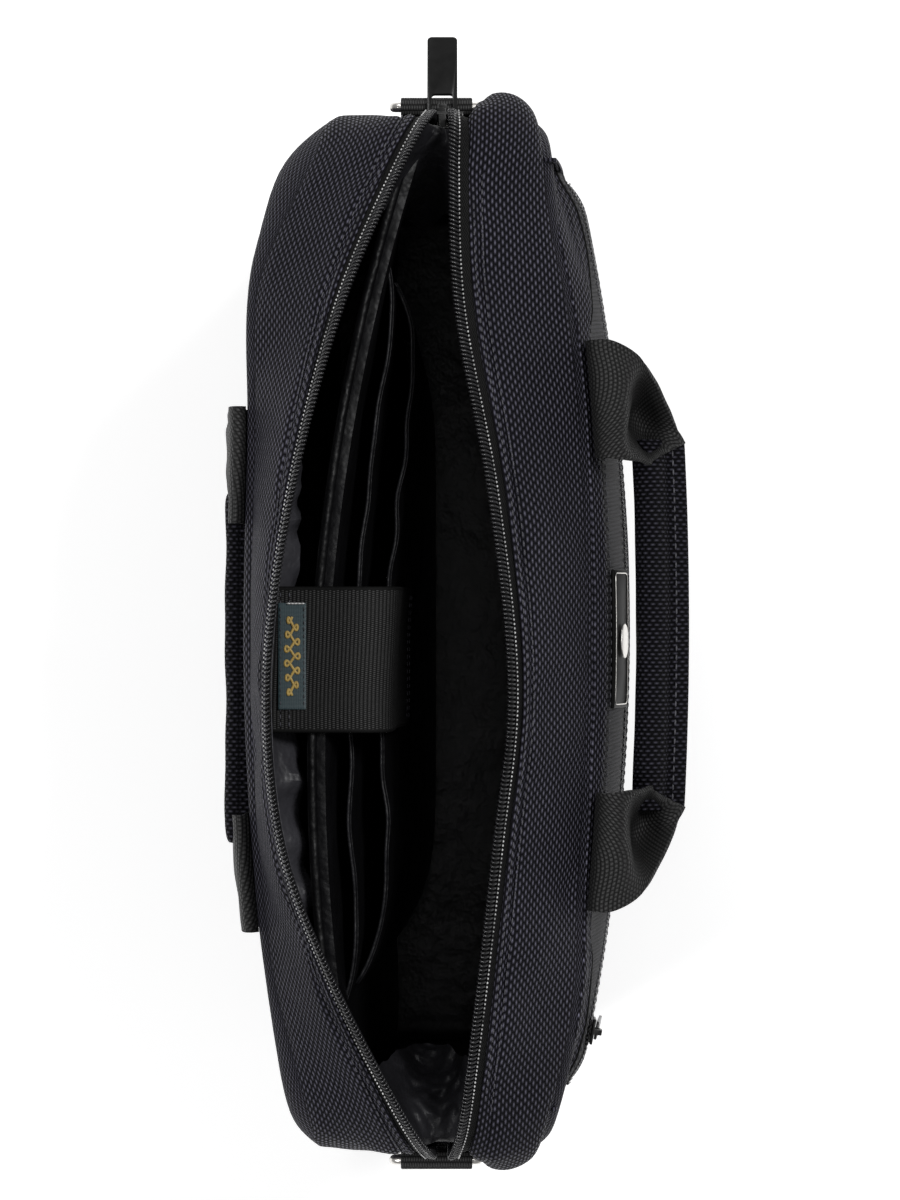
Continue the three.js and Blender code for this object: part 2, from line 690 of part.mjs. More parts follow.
// Its puller hangs from the bridge.
const POCKET_PULLER = { length: 24, width: 6.5, ring: 8, bar: 1.1, thick: 1, lean: 5 };
const pocketHingeY = pocketPlateFront - 0.95;
const pocketHingeZ = -bridgeLength / 2 + bridgeBar + 0.75 + POCKET_PULLER.thick / 2;
const pocketPuller = pullerGeometry(
  POCKET_PULLER.length,
  POCKET_PULLER.width,
  POCKET_PULLER.ring,
  POCKET_PULLER.bar,
  POCKET_PULLER.thick,
);
pocketPuller.rotateY(Math.PI / 2);
pocketPuller.rotateZ(Math.PI / 2);
pocketPuller.rotateX((-POCKET_PULLER.lean * Math.PI) / 180);
pocketPuller.translate(0, pocketHingeY, pocketHingeZ);
add("pocket_zip_puller", welded(onPocketZip(pocketPuller)), DARK_METAL);

// ---- badge on the pocket's band ----
const BADGE = { x: -1.7, z: 258.5, width: 48, height: 15, thick: 1.2 };
const badgeFace = -GAP - BADGE.thick;
const badgeAt = (u, v) => {
  const x = BADGE.x + (u - 0.5) * BADGE.width;
  const z = BADGE.z + (v - 0.5) * BADGE.height;
  return vec(x, pocketY(x, z), z);
};
add("badge_plate", sheet(badgeAt, 4, 1, badgeFace, -GAP, vec(0, 1, 0)), GLOSS);
const OVAL = { x: -2.5, width: 12, height: 7, thick: 0.5 };
const ovalSlope = (pocketY(0, BADGE.z + 1) - pocketY(0, BADGE.z - 1)) / 2;
const ovalShape = new THREE.Shape();
ovalShape.absellipse(OVAL.x, 0, OVAL.width / 2, OVAL.height / 2, 0, 2 * Math.PI);
const oval = plate(ovalShape, OVAL.thick, 0, 8);
oval.rotateX(Math.PI / 2 - Math.atan(ovalSlope));
const ovalY = pocketY(OVAL.x, BADGE.z) + badgeFace - 2 * GAP - OVAL.thick / 2;
oval.translate(0, ovalY, BADGE.z);
add("badge_oval", welded(oval), NICKEL);

// ---- carrying handles ----
// The outline of a grip across its length: a padded roll and the sewn edge of its wrap.
function gripOutline(thick) {
  const half = thick / 2;
  return outlineOf([
    [0, -half * 0.45],
    [half * 0.55, -half],
    [9, -half],
    [12.5, -1.7],
    [20, -1.4],
    [20, 1.4],
    [12.5, 1.7],
    [9, half],
    [half * 0.55, half],
    [0, half * 0.45],
  ]);
}

// Lays a grip along X with its roots' side at (y, z) and its sewn edge pointing along away.
function gripAt(x, y, z, length, thick, away) {
  const g = plate(gripOutline(thick), length, 1);
  const across = new THREE.Vector3().crossVectors(vec(1, 0, 0), away);
  g.applyMatrix4(new THREE.Matrix4().makeBasis(away, across, vec(1, 0, 0)));
  g.translate(x, y, z);
  return welded(g);
}

const LEG_ROOT = TOP + 0.5; // the webbing bends out over the panel's top edge from here

// A webbing leg as a sheet through three lines: its inner edge, its middle and its outer edge.
// A line starts at the panel's top edge. Its points give the distance from the handle's middle,
// the distance out from the root and the height over it, and its end lies on the grip.
function legSheet(centre, way, faceY, outward, lines) {
  const curves = lines.map(({ points, end }) => {
    const rootX = centre + way * points[0][0];
    const rootY = faceY(rootX, TOP) + outward * (GAP + WEBBING / 2);
    const placed = points.map(([x, out, up]) =>
      vec(centre + way * x, rootY + outward * out, LEG_ROOT + up),
    );
    placed.push(vec(centre + way * end[0], end[1], end[2]));
    return new THREE.CatmullRomCurve3(placed);
  });
  const at = (u, v) => {
    const [a, b, c] = curves.map((curve) => curve.getPoint(v));
    const weights = [(1 - u) * (1 - 2 * u), 4 * u * (1 - u), u * (2 * u - 1)];
    return a.multiplyScalar(weights[0]).addScaledVector(b, weights[1]).addScaledVector(c, weights[2]);
  };
  return sheet(at, 4, 11, -WEBBING / 2, WEBBING / 2);
}

const LEG_OFFSET = 77; // handle's middle to the middle of a front leg
const FRONT_HANDLE_X = 3;
const REAR_HANDLE_X = -12;
const REAR_LEG_OFFSET = 70;
const ANCHOR_FOOT = { front: TOP - 80, rear: TOP - 68 };
const anchorTop = TOP - 1.5;

function anchor(centre, faceY, outward, foot) {
  const half = HANDLE_WIDTH / 2;
  const at = (u, v) => {
    const x = mix(centre - half, centre + half, u);
    const z = mix(foot, anchorTop, v);
    return vec(x, faceY(x, z), z);
  };
  return sheet(at, 4, 3, GAP, GAP + WEBBING, vec(0, outward, 0));
}

const gripTilt = (22 * Math.PI) / 180;
const frontAway = vec(0, -Math.cos(gripTilt), -Math.sin(gripTilt));
const FRONT_GRIP = { half: 64, y: -67.6, z: TOP - 17 };
const onFrontGrip = (along) => [
  FRONT_GRIP.half + 1,
  FRONT_GRIP.y + along * frontAway.y,
  FRONT_GRIP.z + along * frontAway.z,
];
const inner = LEG_OFFSET - HANDLE_WIDTH / 2;
const outer = LEG_OFFSET + HANDLE_WIDTH / 2;
const frontLegLines = [
  {
    points: [
      [inner, 0, 0],
      [inner, 2, 4.2],
      [inner, 6, 5.6],
      [inner + 0.5, 9.5, 3],
      [inner + 4, 11.5, -5],
      [inner + 8.2, 12.6, -12],
    ],
    end: onFrontGrip(1.5),
  },
  {
    points: [[77, 0, 0], [77, 2, 4.2], [77, 6.5, 5.8], [76.5, 11.5, 3.5], [73, 16, -5]],
    end: onFrontGrip(8.5),
  },
  {
    points: [[outer, 0, 0], [outer, 2, 4.2], [outer, 7, 5.6], [outer - 5, 17, 2], [outer - 16, 25, -9]],
    end: onFrontGrip(15.5),
  },
];

const rearAway = vec(0, 0.05, -1).normalize();
const rearGripY = backY(0, TOP) + 3.5;
const REAR_GRIP = { half: 61.5, y: rearGripY, z: TOP - 34 };
const onRearGrip = (along) => [
  REAR_GRIP.half + 1,
  REAR_GRIP.y + along * rearAway.y,
  REAR_GRIP.z + along * rearAway.z,
];
const rearInner = REAR_LEG_OFFSET - HANDLE_WIDTH / 2;
const rearOuter = REAR_LEG_OFFSET + HANDLE_WIDTH / 2;
const rearLegLines = [
  {
    points: [
      [rearInner, 0, 0],
      [rearInner, 3.2, 3.4],
      [rearInner, 6.2, -1],
      [rearInner + 1, 5.8, -14],
      [rearInner + 5, 5.6, -25],
      [rearInner + 12.2, 5.4, -30],
    ],
    end: onRearGrip(1.5),
  },
  {
    points: [
      [REAR_LEG_OFFSET, 0, 0],
      [REAR_LEG_OFFSET, 3.2, 3.6],
      [REAR_LEG_OFFSET, 6.4, -1],
      [REAR_LEG_OFFSET, 6.6, -14],
      [REAR_LEG_OFFSET - 1, 6.8, -26],
      [REAR_LEG_OFFSET - 4, 7, -36],
    ],
    end: onRearGrip(8.5),
  },
  {
    points: [
      [rearOuter, 0, 0],
      [rearOuter, 3.2, 3.4],
      [rearOuter, 6.4, -1],
      [rearOuter - 0.5, 7.4, -16],
      [rearOuter - 4, 8.2, -31],
      [rearOuter - 13, 8.8, -44],
    ],
    end: onRearGrip(15.5),
  },
];

for (const [side, way] of [["left", LEFT], ["right", RIGHT]]) {
  const frontX = FRONT_HANDLE_X + way * LEG_OFFSET;
  const rearX = REAR_HANDLE_X + way * REAR_LEG_OFFSET;
  add("front_handle_anchor_" + side, anchor(frontX, frontY, -1, ANCHOR_FOOT.front), WEB);
  add("rear_handle_anchor_" + side, anchor(rearX, backY, 1, ANCHOR_FOOT.rear), WEB);
  const frontLeg = legSheet(FRONT_HANDLE_X, way, frontY, -1, frontLegLines);
  add("front_handle_leg_" + side, frontLeg, WEB);
  const rearLeg = legSheet(REAR_HANDLE_X, way, backY, 1, rearLegLines);
  add("rear_handle_leg_" + side, rearLeg, WEB);
}
add(
  "front_handle_grip",
  gripAt(FRONT_HANDLE_X, FRONT_GRIP.y, FRONT_GRIP.z, 2 * FRONT_GRIP.half, GRIP_THICK, frontAway),
  BALLISTIC,
);
add(
  "rear_handle_grip",
  gripAt(REAR_HANDLE_X, REAR_GRIP.y, REAR_GRIP.z, 2 * REAR_GRIP.half, GRIP_THICK - 1, rearAway),
  BALLISTIC,
);

// ---- luggage sleeve on the back ----
// A panel sewn down its two sides and open above and below, to slide over a trolley's handle.
const SLEEVE = { x0: -100, x1: 83, z0: 62, z1: 202, stand: 6.2, thick: 1.2 };
const plateau = (t) => 1 - Math.abs(t) ** 8;
const sleeveAt = (u, v) => {
  const x = mix(SLEEVE.x0, SLEEVE.x1, u);
  const z = mix(SLEEVE.z0, SLEEVE.z1, v);
  return vec(x, backY(x, z) + GAP + SLEEVE.stand * plateau(2 * u - 1), z);
};
add("luggage_sleeve", sheet(sleeveAt, 14, 3, 0, SLEEVE.thick, vec(0, 1, 0)), TWILL);

// ---- inside: padded laptop divider, two file pockets and the laptop strap ----
const DIVIDER = { top: TOP - 10, thick: 3, half: 174.5, baseY: 24, rise: 24, skew: 0.064, topY: 19 };
const floorZ = baseLiningTop + GAP;
function dividerY(x, z) {
  const h = (Math.max(z - floorZ, 0) / (DIVIDER.top - floorZ)) ** 1.5;
  return mix(DIVIDER.baseY, DIVIDER.topY - DIVIDER.skew * x + bow(x, DIVIDER.rise), h);
}
const REAR_FILE = { half: 130, top: TOP - 24, depth: 8.4 };
const FRONT_FILE = { half: 123, top: TOP - 36, depth: 8 };
const ply = 0.5 + LINING;
const rearFileY = (x, z) =>
  dividerY(x, z) - ply - REAR_FILE.depth * Math.max(plateau(x / REAR_FILE.half), 0);
const frontFileY = (x, z) =>
  rearFileY(x, z) - ply - FRONT_FILE.depth * Math.max(plateau(x / FRONT_FILE.half), 0);

const PARTITION_INSET = 3.5;
function partition(faceY, half, top, thick, cells) {
  const low = floorZ;
  const at = (u, v) => {
    const z = mix(low, top, v);
    const x = (2 * u - 1) * Math.min(half, halfWidth(z, PARTITION_INSET));
    return vec(x, faceY(x, z), z);
  };
  return sheet(at, cells, 6, 0, thick, vec(0, 1, 0));
}
add("laptop_divider", partition(dividerY, DIVIDER.half, DIVIDER.top, DIVIDER.thick, 14), SATIN);
const rearFile = partition(rearFileY, REAR_FILE.half, REAR_FILE.top, LINING, 12);
add("rear_file_pocket", rearFile, SATIN);
const frontFile = partition(frontFileY, FRONT_FILE.half, FRONT_FILE.top, LINING, 12);
add("front_file_pocket", frontFile, SATIN);

// The strap is sewn under the back lip, crosses over the divider and hangs down in front of
// the file pockets, where hook tape on it holds to loop tape on the pocket.
const STRAP = { x0: -33.5, x1: 16, thick: 1.6, z: DIVIDER.top + 2.6, end: TOP - 78 };
const PATCH = { inset: 4.5, low: TOP - 76, high: TOP - 44, thick: 1 };
const strapX = (STRAP.x0 + STRAP.x1) / 2;
const strapDepth = 3 * GAP + 2 * PATCH.thick + STRAP.thick / 2; // pocket face to strap middle
const strapRootY = backY(STRAP.x0, STRAP.z) - wallDepth - 1.5;
const strapZ = STRAP.z + STRAP.thick / 2;
function strapLine(x) {
  const high = frontFileY(x, PATCH.high) - strapDepth;
  const low = frontFileY(x, STRAP.end) - strapDepth;
  return new THREE.CatmullRomCurve3([
    vec(x, strapRootY, strapZ),
    vec(x, mix(strapRootY, high, 0.45), strapZ + 0.6),
    vec(x, high + 7, strapZ - 0.2),
    vec(x, high + 2, strapZ - 4),
    vec(x, high + 0.6, strapZ - 13),
    vec(x, high, PATCH.high),
    vec(x, mix(high, low, 0.5), mix(PATCH.high, STRAP.end, 0.5)),
    vec(x, low, STRAP.end),
  ]);
}
const STRAP_CELLS = 2;
const strapLines = [0, 1, 2].map((i) => strapLine(mix(STRAP.x0, STRAP.x1, i / STRAP_CELLS)));
const strapAt = (u, v) => {
  const k = Math.min(Math.floor(u * STRAP_CELLS), STRAP_CELLS - 1);
  return strapLines[k].getPoint(v).lerp(strapLines[k + 1].getPoint(v), u * STRAP_CELLS - k);
};
const strap = sheet(strapAt, STRAP_CELLS, 14, -STRAP.thick / 2, STRAP.thick / 2);
add("laptop_strap", strap, WEB);

const patchAt = (u, v) => {
  const x = mix(STRAP.x0 + PATCH.inset, STRAP.x1 - PATCH.inset, u);
  const z = mix(PATCH.low, PATCH.high, v);
  return vec(x, frontFileY(x, z), z);
};
const loopFar = GAP + PATCH.thick;
const hookNear = loopFar + GAP;
const forward = vec(0, -1, 0);
add("strap_loop_patch", sheet(patchAt, 2, 3, GAP, loopFar, forward), BOARD_BLACK);
add("strap_hook_patch", sheet(patchAt, 2, 3, hookNear, hookNear + PATCH.thick, forward), BOARD_BLACK);
const LABEL_SIZE = { x0: -25.7, x1: 10.7, y0: 47.5, y1: 57, thick: 0.4 };
const labelLow = STRAP.z + STRAP.thick + 0.6 + GAP;
const { x0: labelX0, x1: labelX1, y0: labelY0, y1: labelY1 } = LABEL_SIZE;
const label = box(labelX0, labelX1, labelY0, labelY1, labelLow, labelLow + LABEL_SIZE.thick);
add("strap_label", label, LABEL);

// A small webbing loop sewn into the lining at the right end.
const LOOP = { x: 168, y: 4, width: 8, height: 22, across: 5, ply: 1.1, top: 262 };
const loopOutline = roundedRectangle(LOOP.across, LOOP.height, 2.4);
const loopHole = roundedRectangle(LOOP.across - 2 * LOOP.ply, LOOP.height - 2 * LOOP.ply, 1.3);
loopOutline.holes.push(new THREE.Path(loopHole.getPoints(3)));
const innerLoop = standing(plate(loopOutline, LOOP.width, 0, 3), LOOP.y);
innerLoop.translate(LOOP.x, 0, LOOP.top - LOOP.height / 2);
add("inner_loop", innerLoop, WEB);

export default bag;
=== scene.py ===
"""Looks of an open flight bag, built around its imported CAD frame. Formulas are in millimetres."""

import json
import math

import bpy
import numpy as np
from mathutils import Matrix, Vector


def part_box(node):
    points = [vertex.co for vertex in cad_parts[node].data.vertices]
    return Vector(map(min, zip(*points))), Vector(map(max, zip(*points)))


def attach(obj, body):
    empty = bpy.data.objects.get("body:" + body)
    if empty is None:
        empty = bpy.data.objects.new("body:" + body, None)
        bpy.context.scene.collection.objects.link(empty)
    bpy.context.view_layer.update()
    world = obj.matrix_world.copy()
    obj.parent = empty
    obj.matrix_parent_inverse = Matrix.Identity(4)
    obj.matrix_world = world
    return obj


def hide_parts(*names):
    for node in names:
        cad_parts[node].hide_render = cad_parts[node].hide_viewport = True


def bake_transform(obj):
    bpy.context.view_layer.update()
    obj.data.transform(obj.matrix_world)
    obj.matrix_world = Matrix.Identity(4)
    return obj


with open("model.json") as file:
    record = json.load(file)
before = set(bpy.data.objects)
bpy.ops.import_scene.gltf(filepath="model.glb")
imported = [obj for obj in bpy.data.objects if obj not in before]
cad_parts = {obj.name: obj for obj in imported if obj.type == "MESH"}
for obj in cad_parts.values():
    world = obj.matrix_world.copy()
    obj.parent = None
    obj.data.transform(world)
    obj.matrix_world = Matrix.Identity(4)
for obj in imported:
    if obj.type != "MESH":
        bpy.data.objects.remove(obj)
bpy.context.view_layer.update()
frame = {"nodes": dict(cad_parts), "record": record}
MM = 0.001
SLOT_FOR = {part["node"]: part["material_slot"] for part in frame["record"]["subparts"]}


# ---- camera and lights ----
def put(name, data, place, turn):
    """Stands a camera or a light in the scene."""
    made = bpy.data.objects.new(name, data)
    made.location = place
    made.rotation_euler = turn
    bpy.context.scene.collection.objects.link(made)
    return made


def make_camera(x=11.7, y=-1.7, height=1455, lens=103.5):
    """The camera looks straight down, with the bag's right end at the top of the picture."""
    data = bpy.data.cameras.new("camera")
    data.lens = lens
    data.clip_end = 20
    bpy.context.scene.camera = put("camera", data, (x * MM, y * MM, height * MM), (0, 0, -math.pi / 2))


def add_light(name, place, size, power, target=(0, 0, 0.25)):
    data = bpy.data.lights.new(name, "AREA")
    data.shape = "DISK"
    data.size = size
    data.energy = power
    aim = Vector(target) - Vector(place)
    put(name, data, place, aim.to_track_quat("-Z", "Y").to_euler())


def set_inputs(node, **values):
    """Sets a node's inputs by name, with _ in place of a space."""
    for name, value in values.items():
        node.inputs[name.replace("_", " ")].default_value = value


def make_world(strength):
    world = bpy.data.worlds.new("studio")
    world.use_nodes = True
    set_inputs(world.node_tree.nodes["Background"], Color=(1, 1, 1, 1), Strength=strength)
    bpy.context.scene.world = world


make_camera()
make_world(0.26)
add_light("key", (0.7, -0.9, 2.3), 0.55, 28)
add_light("back_light", (-0.6, 1.1, 2.1), 0.5, 19)
add_light("end_light", (1.6, 0.5, 1.7), 0.6, 7)
add_light("inside_light", (0, 0.05, 1.9), 0.25, 1.0, (0, 0.02, 0))
bpy.context.scene.view_settings.view_transform = "Standard"


# ---- node materials ----
def operation(name):
    """A method of Field that does one sum on it."""
    return lambda self, *others: self.op(name, *others)


class Field:
    """A number that varies over a surface, as a socket of a material's node tree."""

    def __init__(self, tree, socket):
        self.tree = tree
        self.socket = socket

    def op(self, name, *others):
        node = self.tree.nodes.new("ShaderNodeMath")
        node.operation = name
        for slot, value in enumerate((self, *others)):
            if isinstance(value, Field):
                self.tree.links.new(value.socket, node.inputs[slot])
            else:
                node.inputs[slot].default_value = value
        return Field(self.tree, node.outputs[0])

    __add__ = operation("ADD")
    __sub__ = operation("SUBTRACT")
    __mul__ = operation("MULTIPLY")
    __truediv__ = operation("DIVIDE")
    power = operation("POWER")
    size = operation("ABSOLUTE")
    sine = operation("SINE")
    floor = operation("FLOOR")

    def odd(self):
        """1 where the whole number is odd, 0 where it is even."""
        return self.op("MODULO", 2.0).size()

    def rib(self, pitch):
        """Rounded ridges of the given pitch, from 0 in the grooves to 1 on the crests."""
        return (self * (math.pi / pitch)).sine().size()


class Finish:
    """A material being made: surface coordinates in millimetres and the shader they drive."""

    def __init__(self, name, roughness, metallic=0.0, specular=0.5):
        self.material = bpy.data.materials.new(name)
        self.material.use_nodes = True
        self.tree = self.material.node_tree
        self.shader = self.tree.nodes["Principled BSDF"]
        set_inputs(self.shader, Roughness=roughness, Metallic=metallic, Specular_IOR_Level=specular)

    def node(self, kind, **values):
        made = self.tree.nodes.new("ShaderNode" + kind)
        set_inputs(made, **values)
        return made

    def cloth_axes(self):
        """Lengths across and along a cloth, in millimetres, from its own flat map."""
        flat_map = self.node("UVMap")
        flat_map.uv_map = "cloth"
        split = self.node("SeparateXYZ")
        self.tree.links.new(flat_map.outputs["UV"], split.inputs[0])
        return [Field(self.tree, split.outputs[k]) * 100.0 for k in (0, 1)]

    def noise(self, per_mm, detail=2.0, rough=0.5):
        place = self.node("TexCoord")
        scale = self.node("Mapping", Scale=[per_mm * 1000] * 3)
        made = self.node("TexNoise", Scale=1.0, Detail=detail, Roughness=rough)
        self.tree.links.new(place.outputs["Object"], scale.inputs[0])
        self.tree.links.new(scale.outputs[0], made.inputs["Vector"])
        return Field(self.tree, made.outputs["Fac"])

    def color(self, field, stops):
        """Colours the surface by a field, through (position, (r, g, b)) stops."""
        ramp = self.node("ValToRGB")
        elements = ramp.color_ramp.elements
        while len(elements) < len(stops):
            elements.new(0.5)
        for element, (position, rgb) in zip(elements, stops):
            element.position = position
            element.color = (*rgb, 1)
        self.tree.links.new(field.socket, ramp.inputs["Fac"])
        self.tree.links.new(ramp.outputs["Color"], self.shader.inputs["Base Color"])

    def bump(self, field, depth_mm, strength=1.0):
        made = self.node("Bump", Distance=depth_mm * MM, Strength=strength)
        self.tree.links.new(field.socket, made.inputs["Height"])
        self.tree.links.new(made.outputs["Normal"], self.shader.inputs["Normal"])

    def roughness(self, field, low, high):
        made = field * (high - low) + low
        self.tree.links.new(made.socket, self.shader.inputs["Roughness"])


def greys(*stops, level=1.0, blue=0.0):
    """Colour stops from (position, brightness) pairs: grey, or a little blue."""
    return [(p, (v * level, v * level * (1 - blue * 0.1), v * level * (1 + blue))) for p, v in stops]


def ballistic_material(name="ballistic", level=1.0, long=2.9, tall=1.45):
    """Heavy ballistic weave: rows of long raised lumps, each row set half a lump along."""
    made = Finish(name, 0.5, specular=0.07)
    across, along = made.cloth_axes()
    wander = made.noise(0.05, 2.0) * 1.6
    across, along = across + wander, along + wander * 0.6
    row = (along / tall).floor().odd()
    lump_u = (across + row * (long / 2)).rib(long)
    lump_v = along.rib(tall)
    filaments = (along + across * 0.25).rib(0.28) * 0.12 + 0.88
    height = lump_u.power(0.8) * lump_v.power(0.9) * filaments
    # colour from the lumps' height plus noise: the lighter lumps are painted glints and the darker gaps
    # painted shade; the noise gives random tone
    tone_and_painted_crest_light = height * 0.82 + made.noise(0.7, 3.0) * 0.16 + made.noise(0.015, 3.0) * 0.16 - 0.1
    stops = (0.0, 0.0035), (0.3, 0.0075), (0.55, 0.021), (0.72, 0.064), (0.92, 0.155)
    made.color(tone_and_painted_crest_light, greys(*stops, level=level, blue=0.3))
    made.roughness(height, 0.8, 0.36)
    made.bump(height, 0.85)
    return made.material


def webbing_material(name="webbing", rib=1.5, dot=1.5, level=0.8):
    """Ribs across the webbing, crossed by small staggered floats of yarn."""
    made = Finish(name, 0.6, specular=0.2)
    across, along = made.cloth_axes()
    row = (along / rib).floor().odd()
    ribs = along.rib(rib).power(0.6)
    dots = (across + row * (dot / 2)).rib(dot).power(0.6)
    height = ribs * (dots * 0.7 + 0.3)
    # colour from the weave's height plus noise: the lighter ribs and floats are painted highlight and the
    # darker grooves painted shade; the noise gives random tone
    tone_and_painted_crest_light = height * 0.8 + made.noise(0.8, 3.0) * 0.25
    made.color(tone_and_painted_crest_light, greys((0.0, 0.002), (0.4, 0.007), (0.75, 0.022), (1.0, 0.05), level=level))
    made.roughness(height, 0.8, 0.42)
    made.bump(height, 0.34)
    return made.material


def twill_material():
    """Smooth tight twill with faint ribs across it, bluer where it is lighter."""
    made = Finish("twill", 0.6, specular=0.14)
    across, along = made.cloth_axes()
    ribs = (across + along * 0.1).rib(1.4)
    height = ribs * 0.75 + (across + along).rib(0.5) * 0.25
    # colour from the ribs' height plus noise: the lighter ribs are painted highlight and the darker grooves
    # painted shade; the noise gives random tone
    tone_and_painted_crest_light = height * 0.65 + made.noise(0.05, 3.0) * 0.2 + made.noise(1.2, 2.0) * 0.15
    dark, middle = greys((0.0, 0.003), blue=0.1), greys((0.45, 0.01), blue=0.12)
    made.color(tone_and_painted_crest_light, dark + middle + greys((1.0, 0.04), blue=0.14))
    made.bump(height, 0.3)
    return made.material


def satin_material(name="lining_satin", level=1.0):
    """Thin lining satin, dark and slightly glossy, with small creases."""
    made = Finish(name, 0.42, specular=0.15 + 0.3 * level)
    across, along = made.cloth_axes()
    thread = across.rib(0.35) * 0.3 + along.rib(0.5) * 0.2
    creases = made.noise(0.045, 4.0, rough=0.6)
    # colour from the creases and threads: the lighter crests are painted sheen and the darker hollows painted
    # shade
    tone_and_painted_crest_light = creases * 0.7 + thread * 0.5
    made.color(tone_and_painted_crest_light, greys((0.2, 0.016), (0.55, 0.042), (0.95, 0.09), level=level, blue=0.14))
    made.roughness(made.noise(0.3, 2.0), 0.34, 0.52)
    made.bump(creases * 4.0 + thread * 0.04, 0.9, 0.8)
    return made.material


def tape_material():
    """Knitted zip tape: fine chevrons along its length."""
    made = Finish("zip_tape", 0.75, specular=0.12)
    across, along = made.cloth_axes()
    height = (along + across.op("PINGPONG", 1.1) * 0.8).rib(0.9)
    # colour from the chevrons' height plus noise: the lighter crests are painted highlight and the darker
    # grooves painted shade; the noise gives random tone
    tone_and_painted_crest_light = height * 0.6 + made.noise(0.6, 3.0) * 0.4
    made.color(tone_and_painted_crest_light, greys((0.0, 0.001), (0.5, 0.004), (1.0, 0.016)))
    made.bump(height, 0.18)
    return made.material


def hook_material():
    """The fuzz of hook and loop tape."""
    made = Finish("hook_tape", 0.9, specular=0.2)
    fuzz = made.noise(1.6, 2.0)
    made.color(fuzz, greys((0.3, 0.004), (0.7, 0.03)))
    made.bump(fuzz, 0.5)
    return made.material


def label_material():
    """Woven satin label: very fine ribs, dark teal."""
    made = Finish("label", 0.42, specular=0.5)
    across, along = made.cloth_axes()
    height = across.rib(0.45) * 0.7 + along.rib(0.6) * 0.3
    # colour from the ribs' height plus noise: the lighter ribs are painted highlight and the darker grooves
    # painted shade; the noise gives random tone
    tone_and_painted_crest_light = height * 0.5 + made.noise(0.08, 3.0) * 0.5
    dark, middle, light = (0.008, 0.018, 0.022), (0.016, 0.036, 0.043), (0.04, 0.075, 0.085)
    made.color(tone_and_painted_crest_light, [(0.1, dark), (0.5, middle), (0.9, light)])
    made.bump(height, 0.06)
    return made.material


def plain_material(name, stops, roughness, grain, metallic=0.0, specular=0.5, depth=0.02, coat=0.0):
    """A moulded, cast or plated surface: its colour and gloss vary a little with a fine grain."""
    made = Finish(name, roughness, metallic, specular)
    field = made.noise(grain, 4.0, rough=0.6)
    wear = made.noise(grain * 0.12, 3.0)
    made.color(field * 0.5 + wear * 0.5, stops)
    made.roughness(wear, roughness * 0.75, roughness * 1.3)
    made.bump(field, depth)
    set_inputs(made.shader, Coat_Weight=coat, Coat_Roughness=0.15)
    return made.material


BALLISTIC = ballistic_material()
GRIP_BALLISTIC = ballistic_material("grip_ballistic", 0.44)
WEBBING = webbing_material()
WIDE_WEBBING = webbing_material("wide_webbing", 1.75, 0.9, 1.5)
STRAP_WEBBING = webbing_material("strap_webbing", 1.35, 0.7, 0.98)
SHADED_SATIN = satin_material("shaded_satin", 0.14)
# a darker copy of the lining satin: painted shade for the ends' lining, the pleats and the file pockets'
# folded edges
PAINTED_SHADE_SATIN = satin_material("dim_satin", 0.4)
TAPE = tape_material()
THREAD = plain_material("thread", greys((0.3, 0.015), (0.7, 0.07), blue=0.2), 0.5, 1.5)
# bright thread for the coil stitching: a painted glint of the coil's teeth
PAINTED_GLINT_THREAD = plain_material("coil_thread", greys((0.35, 0.03), (0.6, 0.6)), 0.35, 0.9)
GOLD = [(0.3, (0.3, 0.19, 0.04)), (0.7, (0.6, 0.42, 0.12))]
GOLD_THREAD = plain_material("gold_thread", GOLD, 0.45, 2.0, depth=0.15)
SILVER_THREAD = plain_material("silver_thread", greys((0.3, 0.4), (0.7, 0.7)), 0.4, 1.5, 0.3)
NICKEL = [(0.3, (0.62, 0.6, 0.57)), (0.7, (0.85, 0.83, 0.8))]
LACQUER = greys((0.35, 0.007), (0.7, 0.02))
GLOSS = greys((0.3, 0.005), (0.7, 0.012))
FOAM = greys((0.3, 0.03), (0.7, 0.07))
MATERIAL_OF = {
    "ballistic": BALLISTIC,
    "webbing": WEBBING,
    "zip_tape": TAPE,
    "twill": twill_material(),
    "lining": satin_material(),
    "hook_tape": hook_material(),
    "label": label_material(),
    "zip_coil": plain_material("coil_nylon", greys((0.3, 0.006), (0.7, 0.02), blue=0.1), 0.22, 0.5),
    "dark_metal": plain_material("black_lacquer", LACQUER, 0.3, 0.25, metallic=0.5, coat=0.15),
    "nickel": plain_material("nickel", NICKEL, 0.32, 0.3, 1.0),
    "gloss": plain_material("gloss_black", GLOSS, 0.3, 0.1, specular=0.02, depth=0.008),
    "foam": plain_material("foam", FOAM, 0.95, 1.2, specular=0.1, depth=0.5),
    "board": plain_material("board", greys((0.3, 0.012), (0.7, 0.03)), 0.7, 0.4, depth=0.1),
}


# ---- mesh helpers ----
def smooth(t):
    t = np.clip(t, 0, 1)
    return t * t * (3 - 2 * t)


def bell(t):
    return np.exp(-(t**2))


def arch(t, power=1.0):
    """Up from 0 and back, over t from 0 to 1."""
    return np.sin(np.pi * np.clip(t, 0, 1)) ** power


def waves(points, wavelength, seed, count=7):
    """A smooth, repeatable ripple from about -1 to 1 in space."""
    draw = np.random.RandomState(seed)
    total = 0
    for _ in range(count):
        way = draw.normal(size=3)
        way *= 2 * math.pi / (wavelength * draw.uniform(0.7, 1.4) * np.linalg.norm(way))
        total = total + np.sin(points @ way + draw.uniform(0, 2 * math.pi))
    return total / math.sqrt(count) / 1.5


def vectors(x, y, z):
    return np.stack(np.broadcast_arrays(x, y, z), axis=-1).astype(float)


def unit(v):
    return v / np.maximum(np.linalg.norm(v, axis=-1, keepdims=True), 1e-9)


